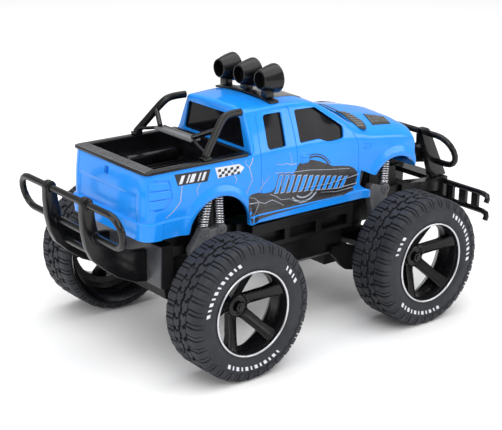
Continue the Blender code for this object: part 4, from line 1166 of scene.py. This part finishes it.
def roof_lamps():
    """Three lamps on the roof, each a bell with an open back, a lens and a support block."""
    bell = [(7.7, -8.9), (8.4, -8.6), (9.1, -6.6), (10.4, -3), (11.6, 1), (12.5, 4.8), (13, 7), (13, 8.5),
            (12.4, 8.6), (12, 8), (11.4, 4.6), (10.2, 0.4), (8.7, -1.6), (7.6, -1.9), (7, -8.2), (7.2, -8.9)]
    lens = [(0.5, -0.7), (4, -0.6), (8.6, 0.2), (8.7, -1.6)]
    half = 4.6
    lamp_x, lamp_z, spacing = -18.5, 229.4, 29.5
    for name, y in (("left", spacing), ("centre", 0), ("right", -spacing)):
        lamp = turned("lamp", bell, 72)
        inside = solid_turned("inside", lens, 48)
        rings = [turned("ring", rectangle(r, -2.2, r + 0.5, -1.4), 48) for r in (2.6, 5)]
        joined(lamp, inside, *rings)
        moved(lamp, placed(lamp_x, y, lamp_z) @ Matrix.Rotation(pi / 2, 4, "Y"))
        foot = 215.6 - (abs(y) + half) / 39.6 * 3
        low, high = (lamp_x - 3.9, y - half, foot), (lamp_x + 3.9, y + half, 220.6)
        joined(lamp, soft_block("post", low, high, 0.7))
        piece(lamp, "roof_lamp_fine_" + name, "black_plastic", "roof_lamp_" + name)


def liner():
    """The bed liner: rounded rails, ribbed cap over the tailgate, dished tub and wheel humps."""
    # share of the way from the outer edge to the inner one, height
    profile = [(0, 172.4), (0, 174), (0.06, 174.7), (0.16, 175), (0.9, 175), (0.97, 174.8), (1, 174.2),
               (1, 172.4)]
    rim_out = soft_outline(rectangle(-165.1, -56.3, -56.4, 56.3), 6.5)
    rim_in = soft_outline(rectangle(-152.6, -48.4, -60, 48.4), 3)
    rings = [[(a[0] + (b[0] - a[0]) * t, a[1] + (b[1] - a[1]) * t, z) for t, z in profile]
             for a, b in zip(rim_out, rim_in)]
    made = [swept("rails", rings, wrap=True)]
    tub = rectangle(-152.8, -48.6, -60, 48.6)
    deep = rectangle(-151.6, -47.6, -61, 47.6)
    levels = ((tub, 174), (deep, 152), (deep, 148.8), (inset_outline(deep, 1.6), 150.6),
              (inset_outline(deep, 0.6), 152.4), (inset_outline(tub, 1), 174))
    made.append(swept("tub", [[(u, v, z) for u, v in ring] for ring, z in levels], wrap=True))
    made.append(block("floor", (-151.4, -47.4, 148.9), (-61.2, 47.4, 150.6)))
    for y in np.arange(-30, 30.1, 7.5):
        made.append(soft_block("rib", (-148, y - 1.4, 150.4), (-64, y + 1.4, 151.6), 0.6))
    for side in (-1, 1):
        low, high = sorted((side * 35, side * 47.8))
        made.append(soft_block("hump", (-122, low, 149.5), (-66, high, 161), 4, 4))
    piece(joined(*made), "bed_liner_fine", "black_plastic", "bed_liner")
    # the cap's ribs are black plastic; their grey colour is a painted highlight on the rib tops
    ribs = []
    for k in range(6):
        x = -163.6 + 2.05 * k
        ribs.append(soft_block("rib", (x - 0.4, -54 + k, 174.6), (x + 0.4, 54 - k, 175.3), 0.1))
    piece(joined(*ribs), "bed_cap_ribs_painted_highlight", "grey_plate_and_rib_highlight", slot="black_plastic")


def rear_bumper():
    """A round loop held by two curved brackets."""
    low, high = (-199, 122), (-205, 150.4)
    profile = arc(high, 5.6, 200, 0, 10)
    profile += [(-198.6, 142), (-197, 132), (-195.4, 125), (-191.5, 119), (-181.5, 109.5), (-171.8, 104),
                (-160, 101), (-147.3, 100), (-147.3, 71), (-160, 73.2), (-176.2, 80.4), (-190, 90.7),
                (-201.4, 101.3), (-206.4, 112), (-209.4, 126), (-210.4, 140)]
    boss = [(4.4, -0.2), (4.4, 0.6), (3.6, 1), (2, 1), (1.6, 0.5), (0.4, 0.5)]
    made = [tube("loop", spaced(stadium_loop(78.6, low, high), 3), 3, 24, True)]
    for side in (-1, 1):
        y = side * BRACKET_Y
        outline = spaced(profile + profile[:1], 6)[:-1]
        made.append(soft_plate("bracket", outline, y - BRACKET_HALF, y + BRACKET_HALF, 0.8, 3))
        for face in (-1, 1):
            at = placed(high[0], y + face * (BRACKET_HALF - 0.1), high[1]) @ facing(face)
            made.append(moved(solid_turned("boss", boss, 32), at))
        clamp = tube("clamp", [(low[0], y - 5.2, low[1]), (low[0], y + 5.2, low[1])], 4.1, 28)
        made.append(settled(soften(clamp, 0.6)))
    made.append(tube("lower", [(-193, -30, 103), (-193, 30, 103)], 2.8, 20))
    piece(joined(*made), "rear_bumper_fine", "black_plastic", "rear_bumper")


def stadium_loop(half_length, low, high):
    """A loop with round ends between two levels, each given as (x, z)."""
    count = 10
    rise = dist(low, high)
    middle = [(a + b) / 2 for a, b in zip(low, high)]
    up = [(b - a) / rise for a, b in zip(low, high)]
    flat = half_length - rise / 2
    ends = arc((flat, 0), rise / 2, -90, 90, count) + arc((-flat, 0), rise / 2, 90, 270, count)
    return [(middle[0] + up[0] * v, u, middle[1] + up[1] * v) for u, v in ends]


def front_guard():
    """A round loop on two brackets, with two lamps hung inside it."""
    outline = [(171.6, 156.4), (181.4, 156.4), (185, 152.6), (210.3, 104.6), (189.2, 104.6), (188.2, 110),
               (175.2, 147)]
    can = [(7.4, -8.6), (9.4, -8.6), (9.6, -6), (10, 5), (10.2, 8.4), (9.4, 8.6), (8.8, 5), (0.4, 3.6),
           (0.4, -4), (7, -5.4)]
    turn = Matrix.Rotation(radians(96.7), 4, "Y")
    made = [tube("loop", spaced(stadium_loop(61, (197.5, 119.5), (182.5, 150.5)), 3), 3, 24, True)]
    for side in (-1, 1):
        low, high = side * BRACKET_Y - BRACKET_HALF, side * BRACKET_Y + BRACKET_HALF
        made.append(soft_plate("bracket", soft_outline(outline, 2), low, high, 0.7, 3))
        y = side * 14
        made.append(moved(turned("can", can, 56), placed(187.5, y, 126.5) @ turn))
        made.append(soft_block("stalk", (186, y - 2, 134), (190, y + 2, 150.6)))
    piece(joined(*made), "front_guard_fine", "black_plastic", "front_guard")


def hood_vent(side_name, side):
    """A framed panel with rows of short slats, laid on the hood."""
    corners = [(97.1, 29.3), (120.1, 32.9), (116.8, 45.8), (92.4, 47.3)]
    place = on_top(side)
    name = "hood_vent_fine_" + side_name
    piece(pad("frame", corners, 0.75, place, 0.3, sink=0.6), name, "vent_plastic", "hood_vent_" + side_name)
    a, b, c, d = (Vector(p) for p in corners)
    count = 8
    slats = []
    for k in range(count):
        low, high = (k + 0.22) / count, (k + 0.72) / count
        for start in (0.1, 0.38, 0.66):
            slat = []
            for t, s in rectangle(low, start, high, start + 0.22):
                near, far = a.lerp(b, t), d.lerp(c, t)
                slat.append(tuple(near.lerp(far, s)))
            slats.append(pad("slat", slat, 1.5, place, 0.3, sink=0.1))
    piece(joined(*slats), name + "_slats", "slat_grey", slot="vent_plastic")


def cowl():
    """The thin strip below the windshield, with a ribbed leaf at each end."""
    leaf = soft_outline([(70.4, -20), (77, -25), (82.2, -33), (84.4, -42), (82.6, -50), (76.6, -55),
                         (72, -50.4), (69.8, -44), (70.2, -32)], 1.5)
    place = on_top()
    made = [pad("strip", rectangle(73.4, -30, 75.4, 30), 0.35, place, 0.1, sink=0.6)]
    slats = []
    for side in (-1, 1):
        made.append(pad("leaf", [(x, -side * y) for x, y in leaf], 1, place, 0.3, sink=0.6))
        for k in range(8):
            y = side * (25 + 3.3 * k)
            end = 76.4 + 6 * sin(pi * (k + 1) / 10)
            slats.append(pad("slat", rectangle(71.8, y, end, y + side * 1.5), 1.7, place, 0.3, sink=0.1))
    piece(joined(*slats), "cowl_slats", "slat_grey", slot="vent_plastic")
    piece(joined(*made), "cowl_grille_fine", "vent_plastic", "cowl_grille")


def sunroof():
    """The low dark panel on the roof; its smoked glass is coloured lighter grey as a painted reflection."""
    panel = pad("panel", soft_outline(rectangle(-9, -26, 24.5, 26), 3), 0.7, on_top(), 0.3, sink=0.5)
    piece(panel, "sunroof_fine", "roof_glass_painted_reflection", "sunroof_panel", slot="tinted_glazing")


# for each end: (x, z) of the eyes that hold the springs, and the outline of the plate round them
BRACKETS = {
    "rear": ([(-102, 111), (-84.6, 111)],
             [(-110, 72.6), (-118, 98), (-106, 114), (-94, 112.6), (-81, 114), (-80.4, 108), (-91, 84),
              (-94, 72.6)]),
    "front": ([(107.5, 112.8)],
              [(97, 72.6), (88.4, 106), (88.4, 118.6), (92, 120.2), (101, 117), (111.6, 114.8), (109, 84),
               (109, 72.6)]),
}


def spring_brackets():
    """The upright plates with round eyes that hold the springs on the axles."""
    profile = [(5, -0.4), (5, 0.5), (4.4, 0.9), (3, 0.9), (2.6, 0.2), (1.4, 0.2), (1.2, 0.7), (0.3, 0.7)]
    for side_name, _ in SIDES:
        for end, (eyes, outline) in BRACKETS.items():
            node = f"{end}_bracket_{side_name}"
            low, high = (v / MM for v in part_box(node))
            near, far = low.y + 1, high.y - 1
            middle = (near + far) / 2
            made = [soft_plate("plate", soft_outline(outline, 2.5), near, far, 0.6, 3)]
            for x, z in eyes:
                for face, y in ((-1, near), (1, far)):
                    made.append(moved(solid_turned("eye", profile, 36), placed(x, y, z) @ facing(face)))
                made.append(tube("seat", [(x, middle, z), (x, middle, high.z - 0.1)], 4.5, 28))
            name = f"{end}_bracket_fine_{side_name}"
            piece(joined(*made), name, "bracket_plastic", node, body=end + "_axle")


def bulkheads():
    """Plates that close the chassis: one on each side of the front spine and one behind the tub."""
    outline = [(60.5, 98), (60.5, 70), (93.6, 70), (95.6, 78.4), (130, 78.4), (139.5, 84), (139.5, 110),
               (136, 127), (97, 127), (92, 110), (62, 106)]
    for side_name, side in SIDES:
        low, high = sorted((side * 33, side * 35.2))
        plate = soft_plate("plate", soft_outline(outline, 1.2), low, high, 0.5)
        piece(plate, "bulkhead_" + side_name, "chassis_plastic")
    # the rear plate is chassis plastic coloured lighter grey: painted light on the lit back face of the rear
    # block
    plate = soft_block("plate", (-148.3, -52.6, 70.6), (-146.8, 52.6, 107.4))
    piece(plate, "rear_end_plate", "chassis_painted_light", slot="chassis_plastic")


def trim():
    """Every piece outside the body shell and the wheels."""
    bulkheads()
    springs()
    spring_brackets()
    roll_bar()
    roof_lamps()
    liner()
    rear_bumper()
    front_guard()
    for side_name, side in SIDES:
        hood_vent(side_name, side)
    cowl()
    sunroof()


# ---------------------------------------------------------------- stage

def stage():
    """The white ground."""
    bpy.ops.mesh.primitive_plane_add(size=8)
    floor = bpy.context.object
    floor.name = "floor"
    paint = bpy.data.materials.new("floor")
    paint.use_nodes = True
    tree = paint.node_tree
    shader = tree.nodes["Principled BSDF"]
    shader.inputs["Roughness"].default_value = 0.75
    shade = mixed(tree, noise(tree, 6), (0.93, 0.93, 0.935), (0.95, 0.95, 0.95))
    tree.links.new(shade, shader.inputs["Base Color"])
    floor.data.materials.append(paint)


def light(name, place, size, power):
    """A soft rectangular light turned to the truck."""
    lamp = bpy.data.lights.new(name, "AREA")
    lamp.shape = "RECTANGLE"
    lamp.size, lamp.size_y = size
    lamp.energy = power
    obj = linked(name, lamp)
    obj.location = place
    obj.rotation_euler = (Vector((0, 0, 0.1)) - Vector(place)).to_track_quat("-Z", "Y").to_euler()


def studio():
    """White surroundings and four soft lights."""
    world = bpy.data.worlds.new("studio")
    world.use_nodes = True
    background = world.node_tree.nodes["Background"]
    background.inputs["Color"].default_value = (1, 1, 1, 1)
    background.inputs["Strength"].default_value = 0.55
    bpy.context.scene.world = world
    light("overhead", (0.1, -0.1, 2.3), (3.4, 3.4), 66)
    light("key", (-0.7, -1.5, 1.3), (0.9, 0.9), 10)
    light("front_fill", (1.5, -1.6, 0.7), (1, 0.6), 7)
    light("rear_fill", (-1.9, 0.4, 0.8), (0.9, 0.7), 9)
    bpy.context.scene.view_settings.view_transform = "Standard"


# place and aim in millimetres, roll in degrees, lens in millimetres
CAMERA_PLACE = (-748.9, -927.2, 487.8)
CAMERA_AIM = (-11.15, 0, 95.46)
CAMERA_ROLL = 0.87
CAMERA_LENS = 97.35


def camera():
    """The main view, seen from behind the truck's right side."""
    data = bpy.data.cameras.new("camera")
    data.lens = CAMERA_LENS
    data.sensor_width = 36
    data.clip_start = 0.05
    data.clip_end = 30
    obj = linked("camera", data)
    place, aim = Vector(CAMERA_PLACE) * MM, Vector(CAMERA_AIM) * MM
    turn = (aim - place).to_track_quat("-Z", "Y").to_matrix().to_4x4()
    obj.matrix_world = Matrix.Translation(place) @ turn @ Matrix.Rotation(radians(CAMERA_ROLL), 4, "Z")
    bpy.context.scene.camera = obj


def cad_finishes(frame):
    """Gives every CAD node its slot's finish and rounded edges."""
    slots = {row["node"]: row["material_slot"] for row in frame["record"]["subparts"]}
    for name, obj in frame["nodes"].items():
        dressed(obj, slots[name])
        weld = obj.modifiers.new("weld", "WELD")
        weld.merge_threshold = 0.01 * MM
        soften(obj, 0.5)


# ---------------------------------------------------------------- run

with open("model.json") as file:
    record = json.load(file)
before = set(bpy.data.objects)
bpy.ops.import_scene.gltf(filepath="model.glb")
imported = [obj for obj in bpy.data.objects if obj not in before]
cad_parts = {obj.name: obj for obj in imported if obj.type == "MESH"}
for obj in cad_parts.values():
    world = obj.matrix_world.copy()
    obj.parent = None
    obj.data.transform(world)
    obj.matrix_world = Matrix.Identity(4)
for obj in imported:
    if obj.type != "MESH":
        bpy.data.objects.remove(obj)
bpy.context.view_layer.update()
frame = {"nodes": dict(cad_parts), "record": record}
FINISH.update((look, surface(look, *row, **extra)) for look, (*row, extra) in LOOKS.items())
cad_finishes(frame)
body()
glazing()
wheels()
trim()
printed()
stage()
studio()
camera()
